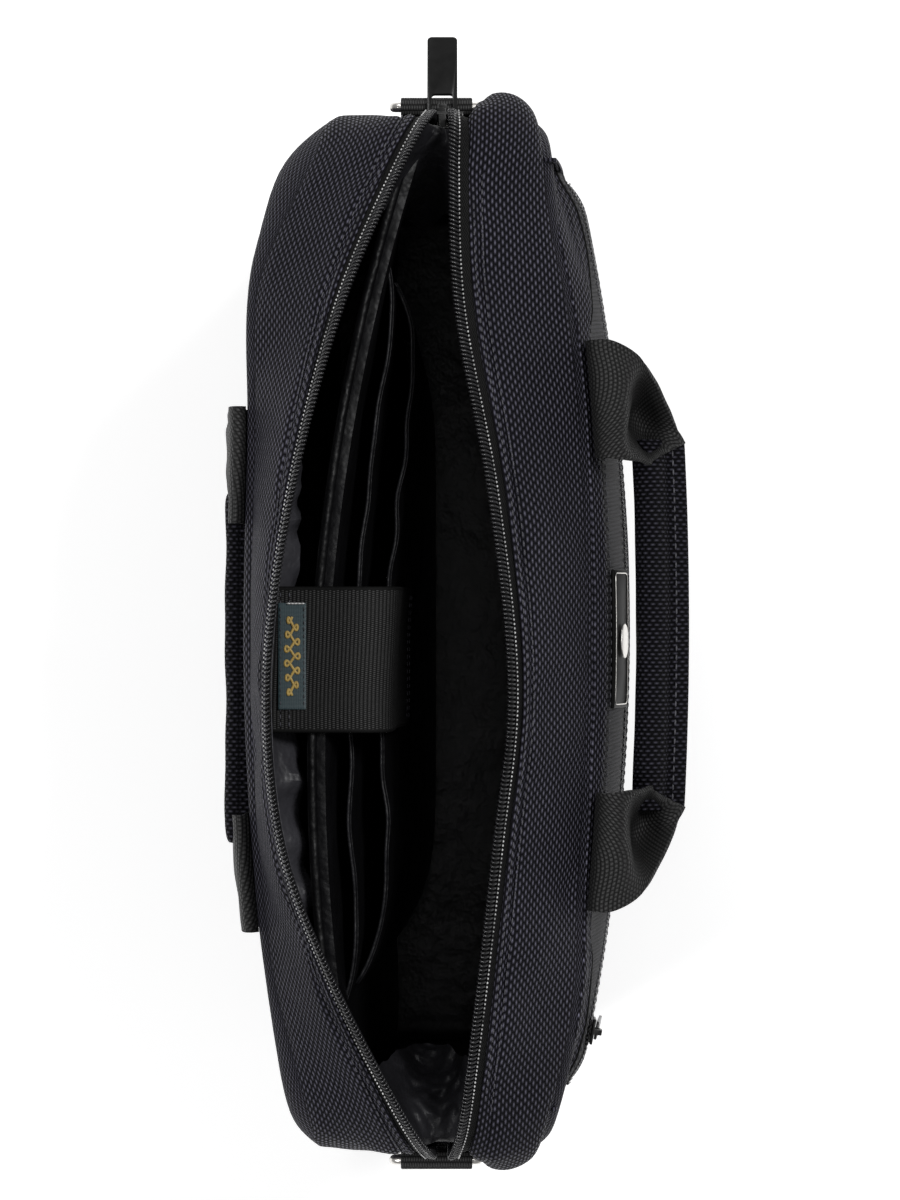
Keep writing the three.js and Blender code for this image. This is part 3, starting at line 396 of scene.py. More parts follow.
def spread(points, axis):
    """Length along a grid's axis up to each point, counted from the middle."""
    steps = np.linalg.norm(np.diff(points, axis=axis), axis=-1)
    first = np.zeros_like(np.take(steps, [0], axis=axis))
    along = np.concatenate([first, np.cumsum(steps, axis=axis)], axis=axis)
    return along - np.take(along, [along.shape[axis] // 2], axis=axis)


def grid_normals(points):
    return unit(np.cross(np.gradient(points, axis=1), np.gradient(points, axis=0)))


def run_along(line):
    """Length along a line up to each of its points."""
    return np.concatenate([[0], np.cumsum(np.linalg.norm(np.diff(line, axis=0), axis=1))])


def pick(values, run, at):
    """Rows of values that are known at the lengths run, read off at other lengths."""
    return np.stack([np.interp(at, run, column) for column in np.asarray(values).T], -1)


def along_curve(curve, s):
    """Points of an evenly spaced curve at the shares s of its length."""
    return pick(curve, np.linspace(0, 1, len(curve)), s)


def catmull(points, samples=500):
    """The centripetal curve through the points, as (samples, 3) spaced evenly along it."""
    p = np.asarray(points, float)
    p = np.vstack([2 * p[0] - p[1], p, 2 * p[-1] - p[-2]])
    made = []
    for k in range(1, len(p) - 2):
        x0, x1, x2, x3 = p[k - 1 : k + 3]
        d0, d1, d2 = (max(np.linalg.norm(b - a) ** 0.5, 1e-4) for a, b in ((x0, x1), (x1, x2), (x2, x3)))
        t1 = ((x1 - x0) / d0 - (x2 - x0) / (d0 + d1) + (x2 - x1) / d1) * d1
        t2 = ((x2 - x1) / d1 - (x3 - x1) / (d1 + d2) + (x3 - x2) / d2) * d1
        t = np.linspace(0, 1, 40, endpoint=k == len(p) - 3)[:, None]
        bend, twist = -3 * x1 + 3 * x2 - 2 * t1 - t2, 2 * x1 - 2 * x2 + t1 + t2
        made.append(x1 + t1 * t + bend * t**2 + twist * t**3)
    made = np.vstack(made)
    run = run_along(made)
    return pick(made, run, np.linspace(0, run[-1], samples))


def catmull_xz(points, samples):
    """The curve through (x, z) points."""
    return catmull([(x, 0, z) for x, z in points], samples)[:, [0, 2]]


def grid_faces(rows, columns, closed=False):
    faces = []
    for j in range(rows - 1):
        for i in range(columns if closed else columns - 1):
            a = j * columns + i
            b = j * columns + (i + 1) % columns
            faces.append((a, b, b + columns, a + columns))
    return faces


def capped_faces(rows, sides):
    """The faces of a closed tube, with one at each end."""
    caps = [tuple(range(sides))[::-1], tuple((rows - 1) * sides + i for i in range(sides))]
    return grid_faces(rows, sides, closed=True) + caps


def rings(first, second, sides):
    """Unit circles, one per row, in the plane of two rows of unit vectors."""
    angles = np.linspace(0, 2 * math.pi, sides, endpoint=False)[None, :, None]
    return first[:, None] * np.cos(angles) + second[:, None] * np.sin(angles)


def mesh_object(name, points, faces, uv=None):
    mesh = bpy.data.meshes.new(name)
    mesh.from_pydata((np.asarray(points, float).reshape(-1, 3) * MM).tolist(), [], faces)
    if uv is not None:
        layer = mesh.uv_layers.new(name="cloth")
        corners = np.zeros(len(mesh.loops), np.int32)
        mesh.loops.foreach_get("vertex_index", corners)
        layer.data.foreach_set("uv", (np.asarray(uv).reshape(-1, 2)[corners] / 100).ravel())
    mesh.polygons.foreach_set("use_smooth", [True] * len(mesh.polygons))
    mesh.update()
    made = bpy.data.objects.new(name, mesh)
    bpy.context.scene.collection.objects.link(made)
    return made


def add_modifier(piece, kind, **values):
    modifier = piece.modifiers.new(kind.lower(), kind)
    for key, value in values.items():
        setattr(modifier, key, value)


def round_edges(piece, width, angle, segments=2, **values):
    """Bevels the edges that are sharper than an angle in degrees."""
    add_modifier(piece, "BEVEL", width=width * MM, segments=segments, limit_method="ANGLE",
                 angle_limit=math.radians(angle), **values)


def settle(piece, body, slot, replaces=(), material=None):
    """Gives a finished piece its material and its CAD body, and hides the CAD nodes it stands for."""
    piece.data.materials.append(material or MATERIAL_OF[slot])
    if body is not None:
        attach(piece, body)
    if replaces:
        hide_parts(*replaces)
    return piece


def cloth(name, points, thick, slot, replaces=(), side=-1, body="bag", material=None, edge=0.4,
          held=None, on=()):
    """The arguments held and on are not used.
    A sheet that is held some way is declared soft, resting on other pieces."""
    uv = np.stack([spread(points, 1), spread(points, 0)], axis=-1)
    piece = mesh_object(name, points, grid_faces(*points.shape[:2]), uv)
    add_modifier(piece, "SOLIDIFY", thickness=thick * MM, offset=side, use_even_offset=False)
    round_edges(piece, thick * edge, 50)
    settle(piece, body, slot, replaces, material)
    return piece


def tube(name, path, radius, slot, body="bag", closed=False, sides=12, replaces=(), material=None, flat=1.0):
    """A round wire along a path; flat below 1 makes its section an oval."""
    path = np.asarray(path, float)
    count = len(path)
    if closed:
        tangent = unit(np.roll(path, -1, 0) - np.roll(path, 1, 0))
    else:
        tangent = unit(np.gradient(path, axis=0))
    seed = np.array([0.0, 0.0, 1.0]) if abs(tangent[0][2]) < 0.9 else np.array([1.0, 0.0, 0.0])
    normals = []
    normal = seed
    for t in tangent:
        normal = unit(normal - t * (normal @ t))
        normals.append(normal)
    normals = np.array(normals)
    points = path[:, None] + rings(normals * flat, np.cross(tangent, normals), sides) * radius
    if closed:
        last = (count - 1) * sides
        faces = grid_faces(count, sides, closed=True)
        faces += [(last + i, last + (i + 1) % sides, (i + 1) % sides, i) for i in range(sides)]
    else:
        faces = capped_faces(count, sides)
    return settle(mesh_object(name, points, faces), body, slot, replaces, material)


STITCH_SIDES = 6
STITCH_PLACES = np.array([-1, -0.6, 0, 0.6, 1])  # along a stitch, from one end to the other
STITCH_WIDTHS = np.array([0.25, 1, 1.15, 1, 0.25])
STITCH_LIFTS = np.array([-0.1, 0.12, 0.12, 0.12, -0.1])  # its ends sink into the cloth


def stitches(name, runs, body="bag", pitch=3.2, length=2.3, radius=0.28, material=None, slot="webbing"):
    """Rows of short raised stitches: each run is (points, normals) along a seam."""
    points = []
    for line, normals in runs:
        run = run_along(line)
        count = max(int(run[-1] / pitch), 1)
        at = (np.arange(count) + 0.5) * run[-1] / count
        along = unit(pick(line, run, at + 0.4) - pick(line, run, at - 0.4))
        up = pick(np.broadcast_to(np.asarray(normals, float), line.shape), run, at)
        up = unit(up - along * (up * along).sum(1, keepdims=True))
        ring = rings(up * 0.8, np.cross(along, up), STITCH_SIDES)[:, None] * radius
        middle = along[:, None] * (STITCH_PLACES * length / 2)[:, None] + up[:, None] * STITCH_LIFTS[:, None]
        middle = middle + pick(line, run, at)[:, None]
        points.append((middle[:, :, None] + ring * STITCH_WIDTHS[:, None, None]).reshape(-1, 3))
    points = np.vstack(points)
    one = capped_faces(len(STITCH_PLACES), STITCH_SIDES)
    starts = range(0, len(points), len(STITCH_PLACES) * STITCH_SIDES)
    faces = [tuple(start + corner for corner in face) for start in starts for face in one]
    return settle(mesh_object(name, points, faces), body, slot, (), material or THREAD)


def coil_wire(centre, sideways, normal, pitch, width, depth, wire, sides=6, steps=12):
    """A flattened helix of wire along a line, as grid points for a closed tube."""
    run = run_along(centre)
    turns = int(run[-1] / pitch)
    at = np.linspace(0, run[-1], turns * steps)
    phase = 2 * math.pi * at / run[-1] * turns
    c, b, n = (pick(values, run, at) for values in (centre, sideways, normal))
    bend = np.sign(np.cos(phase)) * np.abs(np.cos(phase)) ** 0.7
    line = c + b * (bend * (width / 2 - wire))[:, None] + n * (np.sin(phase) * (depth / 2 - wire))[:, None]
    tangent = unit(np.gradient(line, axis=0))
    first = unit(np.cross(tangent, n))
    return line[:, None] + rings(first, np.cross(tangent, first), sides) * wire


def box_stitches(at, width, height, inset=3.5):
    """A sewn box with a cross in it; at gives (point, normal) from lengths across and up."""
    w, h = width / 2 - inset, height / 2 - inset
    corners = [(-w, -h), (w, -h), (w, h), (-w, h), (-w, -h)]
    lines = list(zip(corners, corners[1:])) + [((-w, -h), (w, h)), ((-w, h), (w, -h))]
    t = np.linspace(0, 1, 30)
    return [at(a[0] + (b[0] - a[0]) * t, a[1] + (b[1] - a[1]) * t) for a, b in lines]


# ---- the bag's shape, from the frame ----
def low(node):
    return np.array(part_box(node)[0]) / MM


def high(node):
    return np.array(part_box(node)[1]) / MM


FABRIC = 1.5
GAP = 0.3
SEAM = FABRIC + GAP
HALF_WIDTH, _, TOP = high("back_panel")
BACK_Y = high("left_end_gusset")[1] + SEAM
FRONT_Y = low("left_end_gusset")[1] - SEAM
BACK_BOW = high("back_panel")[1] - BACK_Y
FRONT_BOW = FRONT_Y - low("front_panel")[1]
BOW_POWER = 1.3
TOP_CORNER = 28
BASE_CORNER = 12
ZIP_START = high("left_end_gusset")[2] + GAP
ZIP_Y = 1
WALL_DEPTH = 6.9  # outer face to the inside of the lining
OUTWARD = {"back": 1, "front": -1}


def bow(x, rise):
    """The height of an arc over the panel's width, above its two ends."""
    rise = np.maximum(rise, 1e-6)
    radius = (HALF_WIDTH**2 + rise**2) / (2 * rise)
    return np.sqrt(np.maximum(radius**2 - x**2, 0)) - (radius - rise)


def opened(z):
    return (np.maximum(z, 0) / TOP) ** BOW_POWER


def face_y(side, x, z):
    if side == "back":
        return BACK_Y + bow(x, BACK_BOW * opened(z))
    return FRONT_Y - bow(x, FRONT_BOW * opened(z))


def corner_width(half, radius, over, inset=0.0):
    """Half the width of a panel in its rounded corner, at the height over above the arc's centre."""
    return half - radius + np.sqrt(np.maximum((radius - inset) ** 2 - np.maximum(over, 0) ** 2, 0))


def half_width(z, inset=0.0):
    above = corner_width(HALF_WIDTH, TOP_CORNER, z - TOP + TOP_CORNER, inset)
    below = corner_width(HALF_WIDTH, BASE_CORNER, BASE_CORNER - z, inset)
    return np.where(z > TOP / 2, above, below)


def outline_distance(x, z):
    """How far in from the panel's rounded outline a point of it lies."""
    x = np.abs(x)
    inside = np.minimum(np.minimum(HALF_WIDTH - x, TOP - z), z)
    for radius, over in ((TOP_CORNER, z - (TOP - TOP_CORNER)), (BASE_CORNER, BASE_CORNER - z)):
        beyond = x - (HALF_WIDTH - radius)
        inside = np.where((beyond > 0) & (over > 0), radius - np.hypot(beyond, over), inside)
    return np.maximum(inside, 0)


def roll_radius(side, x, z):
    """The padded edge is rounder at the top corners, most of all behind the slider."""
    corner = smooth((np.abs(x) - 110) / 55) * smooth((z - 50) / 150)
    return 6 + corner * {"back": 7 + 9 * (x > 0), "front": 0.5}[side]


def swell(side, x, z):
    """How far the padded wall stands out beyond the frame near the top."""
    rise = smooth((z - 110) / 120)
    if side == "back":
        return 6.2 * bell((x - 124) / 44) * rise
    return (3.4 * bell((x + 128) / 34) - 2.4 * bell((x - 142) / 26)) * rise


def panel_y(side, x, z):
    inside = outline_distance(x, z)
    radius = roll_radius(side, x, z)
    depth = radius * 0.55 * np.clip(1 - inside / radius, 0, 1) ** 2.2 + 0.8 * np.exp(-inside / 12)
    return face_y(side, x, z) - OUTWARD[side] * (depth - swell(side, x, z))


def three_sides(t, rise, radius, half):
    """A route up one side, across the top and down the other, round two corners, at the shares t of
    its length: x, which starts at half, the length up from the ends, and the corner's angle."""
    turn = math.pi / 2 * radius
    flat = half - radius
    d = np.minimum(t, 1 - t) * 2 * (rise + turn + flat)
    a = np.clip((d - rise) / radius, 0, math.pi / 2)
    x = np.where(d < rise + turn, flat + radius * np.cos(a), rise + turn + flat - d)
    return np.where(t < 0.5, x, -x), np.where(d < rise, d, rise + radius * np.sin(a)), a


def edge_lines(length, step=4.5):
    """Positions along a length, close together at its two ends."""
    near = np.array([0, 0.08, 0.35, 0.8, 1.5, 2.4, 3.6, 5, 6.7, 8.6, 11, 14, 17.5, 21, 25])
    middle = np.arange(near[-1] + step, length - near[-1] - step / 2, step)
    return np.concatenate([near, middle, length - near[::-1]])


def edge_row(near, start, count, length=1):
    """Positions along a length: a few near each end, and an even row from start between them."""
    near = np.array(near)
    return np.concatenate([near, np.linspace(start, length - start, count), length - near[::-1]])


def make_panel(side):
    z = edge_lines(TOP)[:, None]
    x = (edge_lines(2 * HALF_WIDTH)[None, :] / HALF_WIDTH - 1) * half_width(z)
    points = vectors(x, panel_y(side, x, z), z)
    ripple = 0.35 * waves(points, 70, 3) + 0.15 * waves(points, 24, 4)
    points[..., 1] += ripple * smooth(outline_distance(x, z) / 14)
    cloth(side + "_panel_cloth", points, FABRIC, "ballistic", [side + "_panel"], OUTWARD[side],
          held="stretched", on=[side + "_foam_pad"])


# ---- the zipped top ----
STRAIGHT_ENDS = (0, 14, 28, 36)
TAPE_SHOWN = 7.7
COIL_WIDTH, COIL_DEPTH, COIL_GAP = 4, 2.4, 0.5
TAPE_EDGE = 6.3
CLOTH_START = 3.2  # the lip's cloth laps over the tape up to here
LIP_ARCHES = {  # the free edge of each lip's tape, from the right end to the left one
    "back": [
        (177.4, 7.4, 281), (172, 10.5, 289), (160, 16.5, 294.5), (112, 36, 308), (38, 53.5, 319),
        (-22, 59.5, 321), (-70, 54.5, 319), (-112, 40, 313), (-160, 17.5, 298), (-172, 11, 290),
        (-177.4, 7.6, 281),
    ],
    "front": [
        (177.4, -5.3, 281), (171, -5.6, 287), (156, -5.4, 290), (112, -7, 295), (45, -18.5, 304.5),
        (-20, -24.4, 309), (-70, -19.5, 308), (-146, -11, 300), (-168, -8, 290), (-177, -5.5, 281),
    ],
}


def edge_curve(side):
    """The free edge of a lip's tape, with its straight ends down beside the zip's two ends."""
    y = ZIP_Y + TAPE_EDGE * OUTWARD[side]
    ends = [(HALF_WIDTH, y, ZIP_START + up) for up in STRAIGHT_ENDS]
    return catmull(ends + LIP_ARCHES[side] + [(-x, y, z) for x, y, z in ends[::-1]], 1600)


class Lip:
    """One lip of the zipped top: the surface between a panel's edge and its zip's coil."""

    def __init__(self, side):
        self.side = side
        self.out = OUTWARD[side]
        self.curve = edge_curve(side)
        self.length = run_along(self.curve)[-1]

    def rim(self, s):
        """Where the lip is sewn on: the panel's outline at the share s of the same way round."""
        x, up, _ = three_sides(s, TOP - TOP_CORNER - ZIP_START, TOP_CORNER, HALF_WIDTH)
        return vectors(x, panel_y(self.side, x, ZIP_START + up), ZIP_START + up)

    def across(self, s):
        """Unit vectors from the rim to the coil."""
        return unit(along_curve(self.curve, s) - self.rim(s))

    def surface(self, s, back):
        """The point a distance back from the tape's free edge; below 0 is on the coil."""
        return along_curve(self.curve, s) - self.across(s) * np.asarray(back)[..., None]

    def normal(self, s):
        """Unit vectors that point out of the surface near the coil."""
        curve, toward = self.curve, self.across(s)
        ahead = along_curve(curve, np.clip(s + 0.004, 0, 1)) - along_curve(curve, np.clip(s - 0.004, 0, 1))
        normal = unit(np.cross(ahead, toward)) * -self.out
        rising = np.sign((normal * [0, self.out, 1]).sum(-1, keepdims=True))
        normal = normal * np.where(rising == 0, 1, rising)  # it is 0 on the straight ends
        return normal - toward * (normal * toward).sum(-1, keepdims=True)

    def grid(self, shares, ws, start, bulge):
        """Points between the rim (w = 0) and the distance start from the edge (w = 1)."""
        s, w = np.meshgrid(shares, ws)
        rim, end = self.rim(s), self.surface(s, start)
        points = rim + (end - rim) * w[..., None]
        fuller = np.where(s < 0.5, 8.5, 6.0) * smooth((np.abs(s - 0.5) - 0.33) / 0.12)
        crown = arch(w, 0.5) * (bulge + fuller * (self.side == "front"))
        from_edge = (1 - w) * np.linalg.norm(end - rim, axis=-1)
        crown = crown - 0.9 * bell((from_edge - 4.4) / 1.3) - 0.5 * np.exp(-from_edge / 2)
        soft = smooth(w / 0.15) * smooth((1 - w) / 0.2)
        crown = crown + soft * (0.9 * waves(points, 46, 11) + 0.4 * waves(points, 19, 12))
        return points + grid_normals(points) * self.out * crown[..., None]


def make_lip(side):
    lip = Lip(side)
    even = np.linspace(0, 1, 260)
    shares = even - 0.09 * np.sin(2 * np.pi * even) / np.pi  # closer together at the two ends
    ws = np.concatenate([[0, 0.01, 0.03, 0.07], np.linspace(0.12, 0.82, 12), np.linspace(0.85, 1, 14)])
    cloth(side + "_lip_cloth", lip.grid(shares, ws, CLOTH_START, 1.6), FABRIC, "ballistic", [side + "_lip"],
          -lip.out, held="stretched", on=[side + "_tape_cloth", side + "_panel_cloth"])
    under = lip.grid(shares[::2], np.linspace(0.13, 1, 14), 2.5, 1.2)
    under = under - grid_normals(under) * lip.out * 2.1
    cloth(side + "_lip_lining", under, 0.5, "lining", (), -lip.out, held="stretched",
          on=[side + "_lip_cloth"])
    # the tape, a little below the cloth
    tape = lip.surface(*np.meshgrid(shares, np.linspace(TAPE_SHOWN + 3, 0, 8)))
    strip = cloth(side + "_tape_cloth", tape - grid_normals(tape) * lip.out * 0.9, 0.6, "zip_tape",
                  [side + "_zip_tape"], -lip.out)
    # two rows of stitching through lip and tape
    s = np.linspace(0.004, 0.996, 400)
    normal = lip.normal(s)
    rows = []
    for back, lift in ((1.4, 0.25), (4.4, 0.6)):
        rows.append((lip.surface(s, CLOTH_START + back) + normal * lift, normal))
    stitches(side + "_lip_stitches", rows, slot="ballistic", pitch=3.0, length=2.2)
    make_coil(lip)


def make_coil(lip):
    s = np.linspace(8.7 / lip.length, 1 - 4 / lip.length, 900)
    normal = lip.normal(s)
    centre = lip.surface(s, -COIL_GAP - COIL_WIDTH / 2) - normal * 0.8
    points = coil_wire(centre, lip.across(s), normal, 1.45, COIL_WIDTH, COIL_DEPTH, 0.44)
    piece = mesh_object(lip.side + "_coil_wire", points, grid_faces(*points.shape[:2], closed=True))
    settle(piece, "bag", "zip_coil", [lip.side + "_zip_coil"])
    # the cord that the coil is sewn round, and the stitching that holds it to the tape; the stitching's
    # bright thread is a painted glint of the coil
    core = centre - normal * 0.1
    tube(lip.side + "_coil_core", core[::3], 0.75, "zip_tape", sides=8)
    seam = lip.surface(s, -COIL_GAP - 0.4) + normal * 0.42
    stitches(lip.side + "_coil_stitches", [(seam, normal)], pitch=1.45, length=0.8, radius=0.26,
             slot="zip_tape", material=PAINTED_GLINT_THREAD)


# ---- gusset round the ends and base, padding and seams ----
def gusset_path(count):
    """From the left end's top, down, under the base and up the right end: x, z and which way is out."""
    t = np.linspace(0, 1, count)
    x, down, a = three_sides(t, ZIP_START - BASE_CORNER, BASE_CORNER, HALF_WIDTH)
    return -x, ZIP_START - down, np.where(t < 0.5, -1, 1) * np.cos(a), -np.sin(a)


def make_gusset():
    x, z, out_x, out_z = (a[:, None] for a in gusset_path(260))
    share = edge_row([0, 0.01, 0.03, 0.07], 0.12, 16)[None, :]
    front, back = (panel_y(side, x, z) for side in ("front", "back"))
    on_end = smooth((z - 25) / 60)
    rise = arch(share, 0.7) * 1.4 * on_end
    points = vectors(x + out_x * rise, front + (back - front) * share, np.maximum(z + out_z * rise, 0))
    soft = on_end * smooth(share / 0.15) * smooth((1 - share) / 0.15)
    points[..., 0] += out_x * soft * (0.7 * waves(points, 60, 21) + 0.3 * waves(points, 22, 22))
    cloth("gusset_cloth", points, FABRIC, "ballistic", ["left_end_gusset", "right_end_gusset", "base_gusset"],
          held="stretched", on=["back_panel_cloth", "front_panel_cloth"])


def make_padding(side):
    z = np.linspace(14, TOP - 12, 60)[:, None]
    x = np.linspace(-1, 1, 90)[None, :] * (half_width(z, 3) - 14)
    points = vectors(x, panel_y(side, x, z) - OUTWARD[side] * 2.0, z)
    points[..., 1] += 0.2 * waves(points, 30, 17)
    cloth(side + "_foam_pad", points, 3.2, "foam", [side + "_foam"], OUTWARD[side])


def make_seam(side):
    """The piped seam that joins a wall to the gusset, and the stitching beside it."""
    x, z, out_x, out_z = gusset_path(300)
    out = OUTWARD[side]
    line = vectors(x - 0.2 * out_x, panel_y(side, x, z) + 0.3 * out, z - 0.2 * out_z + 0.9 * (z < 1))
    tube(side + "_seam_piping", line, 0.85, "ballistic", sides=8, material=TAPE)
    x, z = x - 7.5 * out_x, z - 7.5 * out_z
    inset = vectors(x, panel_y(side, x, z) + 0.25 * out, z)
    stitches(side + "_wall_stitches", [(inset, (0, out, 0))], pitch=3.2, length=2.2, slot="ballistic")


# ---- lining ----
FLOOR_Z = 5.7  # top of the base's lining
PLEAT_START, PLEAT_END = 146, 174


def make_pleats():
    """Loose lining bunched across each end of the mouth, under the zip."""
    curves = [edge_curve(side) for side in ("front", "back")]
    t = np.linspace(0, 1, 44)[None, :]  # from the front lip to the back one
    for name, way in (("right", 1), ("left", -1)):
        x = np.linspace(PLEAT_START, PLEAT_END, 50)[:, None] * way
        edges = []
        for curve in curves:
            arched = curve[curve[:, 2] > 279.5]
            arched = arched[np.argsort(arched[:, 0])]
            edges.append([np.interp(x, arched[:, 0], arched[:, k]) for k in (1, 2)])
        (y0, z0), (y1, z1) = edges
        share = np.clip((np.abs(x) - PLEAT_START) / (PLEAT_END - PLEAT_START), 0, 1)
        deep = 9 + 62 * (1 - share) ** 1.5
        points = vectors(x, y0 + (y1 - y0) * t, z0 + (z1 - z0) * t - 4 - deep * arch(t, 0.7))
        ruffle = 3.4 * waves(points * [0.5, 1.0, 0.5], 11, 37 + way) + 1.6 * waves(points, 7, 39 + way)
        points[..., 2] += ruffle * arch(t, 0.5)
        points[..., 0] += 0.4 * ruffle
        # the darker satin copy here is painted shade
        cloth("lining_pleat_" + name, points, 0.6, "lining", material=PAINTED_SHADE_SATIN, held="gathered",
              on=["back_lip_lining", "front_lip_lining"])


def wall_lining_y(side, x, z):
    return face_y(side, x, z) - OUTWARD[side] * WALL_DEPTH


def make_wall_lining(side):
    z = np.linspace(FLOOR_Z + 0.5, TOP - 8, 90)[:, None]
    x = np.linspace(-1, 1, 150)[None, :] * (half_width(z, 3.2) - 4.5)
    points = vectors(x, wall_lining_y(side, x, z), z)
    slack = smooth(z / 40) * smooth((TOP - 8 - z) / 12)
    folds = 1.3 * waves(points * [1.0, 1.0, 0.45], 34, 31) + 0.6 * waves(points, 13, 32)
    gather = 2.2 * waves(points * [1.0, 0.3, 0.35], 17, 35) + 1.2 * waves(points, 9, 36)
    shelf = bell((z - 262) / 15) * slack * (side == "back")  # it bunches up under the back lip
    points[..., 1] -= OUTWARD[side] * ((1.0 + np.abs(folds)) * slack + (9 + gather) * shelf)
    points[..., 2] += 1.5 * gather * shelf
    cloth(side + "_lining_cloth", points, 0.6, "lining", [side + "_lining"], -OUTWARD[side],
          material={"back": None, "front": SHADED_SATIN}[side], held="stretched", on=[side + "_panel_cloth"])


def make_end_lining(deep=5.7):
    x, z, out_x, out_z = (a[:, None] for a in gusset_path(220))
    front, back = (wall_lining_y(side, x, z) for side in ("front", "back"))
    share = np.linspace(0, 1, 40)[None, :]
    points = vectors(x - out_x * deep, front + (back - front) * share, z - out_z * deep)
    on_end = smooth((z - 20) / 40) * smooth((ZIP_START - z) / 12)
    folds = np.abs(1.6 * waves(points * [1.0, 1.0, 0.5], 26, 33) + 0.7 * waves(points, 11, 34)) * on_end
    points[..., 0] -= out_x * folds
    # the darker satin copy here is painted shade
    cloth("end_lining_cloth", points, 0.6, "lining", ["left_lining", "right_lining", "base_lining"], 1,
          material=PAINTED_SHADE_SATIN, held="stretched", on=["gusset_cloth"])


# ---- divider, file pockets and laptop strap ----
DIVIDER_HALF, DIVIDER_TOP, DIVIDER_Y = 174.5, 270, 24


def divider_y(x, z):
    up = (np.maximum(z - FLOOR_Z - GAP, 0) / (DIVIDER_TOP - FLOOR_Z)) ** 1.5
    return DIVIDER_Y + (19 - 0.064 * x + bow(x, 24) - DIVIDER_Y) * up


def plateau(t):
    """1 over most of the width, falling to 0 at -1 and 1."""
    return np.maximum(1 - np.abs(t) ** 8, 0)


REAR_FILE_HALF, FRONT_FILE_HALF = 130, 123


def rear_file_y(x, z):
    return divider_y(x, z) - 1.3 - 8.4 * plateau(x / REAR_FILE_HALF)


def front_file_y(x, z):
    return rear_file_y(x, z) - 1.3 - 8 * plateau(x / FRONT_FILE_HALF)


def make_divider():
    z = (FLOOR_Z + 0.6 + edge_lines(DIVIDER_TOP - FLOOR_Z - 0.6, 6))[:, None]
    share = edge_lines(2 * DIVIDER_HALF, 6)[None, :] / DIVIDER_HALF - 1
    x = share * np.minimum(DIVIDER_HALF, half_width(z, 3.5))
    points = vectors(x, divider_y(x, z), z)
    puffed = points.copy()
    puffed[..., 1] -= (0.5 + 0.4 * waves(points * [1.0, 1.0, 0.5], 40, 41)) * smooth((DIVIDER_TOP - z) / 8)
    pad = cloth("divider_pad", puffed, 3.2, "lining", ["laptop_divider"], 1, edge=0.42, material=SHADED_SATIN)
    top = points[-1] + [0, 1.4, 0.1]
    tube("divider_binding", top[::2], 1.75, "lining", sides=10, material=SHADED_SATIN)
    stitches("divider_stitches", [(top + [0, -1.75, -3.2], (0, -1, 0.2))], pitch=3, length=2.1, radius=0.22,
             slot="lining")


def make_file(name, shape_y, half, top, seed):
    z = np.concatenate([np.linspace(FLOOR_Z + 0.8, top - 12, 46), np.linspace(top - 10, top, 8)])[:, None]
    share = np.linspace(-1, 1, 150)[None, :]
    x = share * np.minimum(half, half_width(z, 3.5))
    points = vectors(x, shape_y(x, z), z)
    free = smooth((z - 60) / 130) * (1 - np.abs(share) ** 6)
    sway = 1.1 * waves(points * [1.0, 1.0, 0.3], 52, seed) + 0.6 * waves(points, 20, seed + 1)
    points[..., 1] += free * sway
    points[..., 2] += free * smooth((z - top + 20) / 20) * 0.9 * waves(points * [1.0, 0, 0], 60, seed + 2)
    cloth(name + "_cloth", points, 0.8, "lining", [name], 1, material=SHADED_SATIN, held="hung",
          on=["divider_pad"])
    hem = points[-8:] + [0, -0.75, 0.35]
    cloth(name + "_hem", hem, 0.6, "lining", (), 1, material=SHADED_SATIN)
    # the darker satin copy here is painted shade
    tube(name + "_fold", points[-1][::2] + [0, -0.2, 0.2], 0.6, "lining", sides=8, material=PAINTED_SHADE_SATIN)
    seam = hem[1] + [0, -0.1, 0]
    stitches(name + "_stitches", [(seam, (0, -1, 0))], pitch=2.9, length=2.0, radius=0.2, slot="lining")


STRAP_X = (-33.5, 16)
STRAP_ROOT_Z, STRAP_END_Z = 273.4, 202
HOOK_TOP = 236  # the strap hangs straight from here down
STRAP_THICK = 1.6


def strap_line(x, samples=110):
    """The strap's middle surface at one x, from its root to its free end."""
    root_y = face_y("back", STRAP_X[0], 272.6) - WALL_DEPTH - 1.5
    top_y, end_y = (front_file_y(x, z) - 3.7 for z in (HOOK_TOP, STRAP_END_Z))
    z = STRAP_ROOT_Z
    return catmull([
        (x, root_y, z), (x, root_y + (top_y - root_y) * 0.45, z + 0.6), (x, top_y + 7, z - 0.2),
        (x, top_y + 2, z - 4), (x, top_y + 0.6, z - 13), (x, top_y, HOOK_TOP),
        (x, (top_y + end_y) / 2, (HOOK_TOP + STRAP_END_Z) / 2), (x, end_y, STRAP_END_Z),
    ], samples)


def make_strap():
    across = edge_row([0, 0.6, 1.3, 2.2], 3.5, 18, STRAP_X[1] - STRAP_X[0])
    points = np.stack([strap_line(x) for x in STRAP_X[0] + across], 1)
    points = points + grid_normals(points) * (0.35 * waves(points * [1, 0.4, 0.4], 40, 51))[..., None]
    cloth("strap_webbing", points, STRAP_THICK, "webbing", ["laptop_strap"], 0, body="strap",
          material=STRAP_WEBBING, held="hung", on=["front_file_pocket_cloth"])
    # selvages: a thick woven cord along each edge
    for name, k in (("left", 1), ("right", -2)):
        tube("strap_selvage_" + name, points[::2, k], 0.95, "webbing", "strap", sides=8)
    up = grid_normals(points)
    up = up * np.sign(up[10, 10, 2])
    shown = points + up * (STRAP_THICK / 2 + 0.15)
    rows = [(shown[k, 2:-2], up[k, 2:-2]) for k in (4, 7)]
    rows += [(shown[k, 3:-3], up[k, 3:-3]) for k in (-8, -2)]
    stitches("strap_stitches", rows, body="strap", pitch=2.6, length=1.8, radius=0.24)


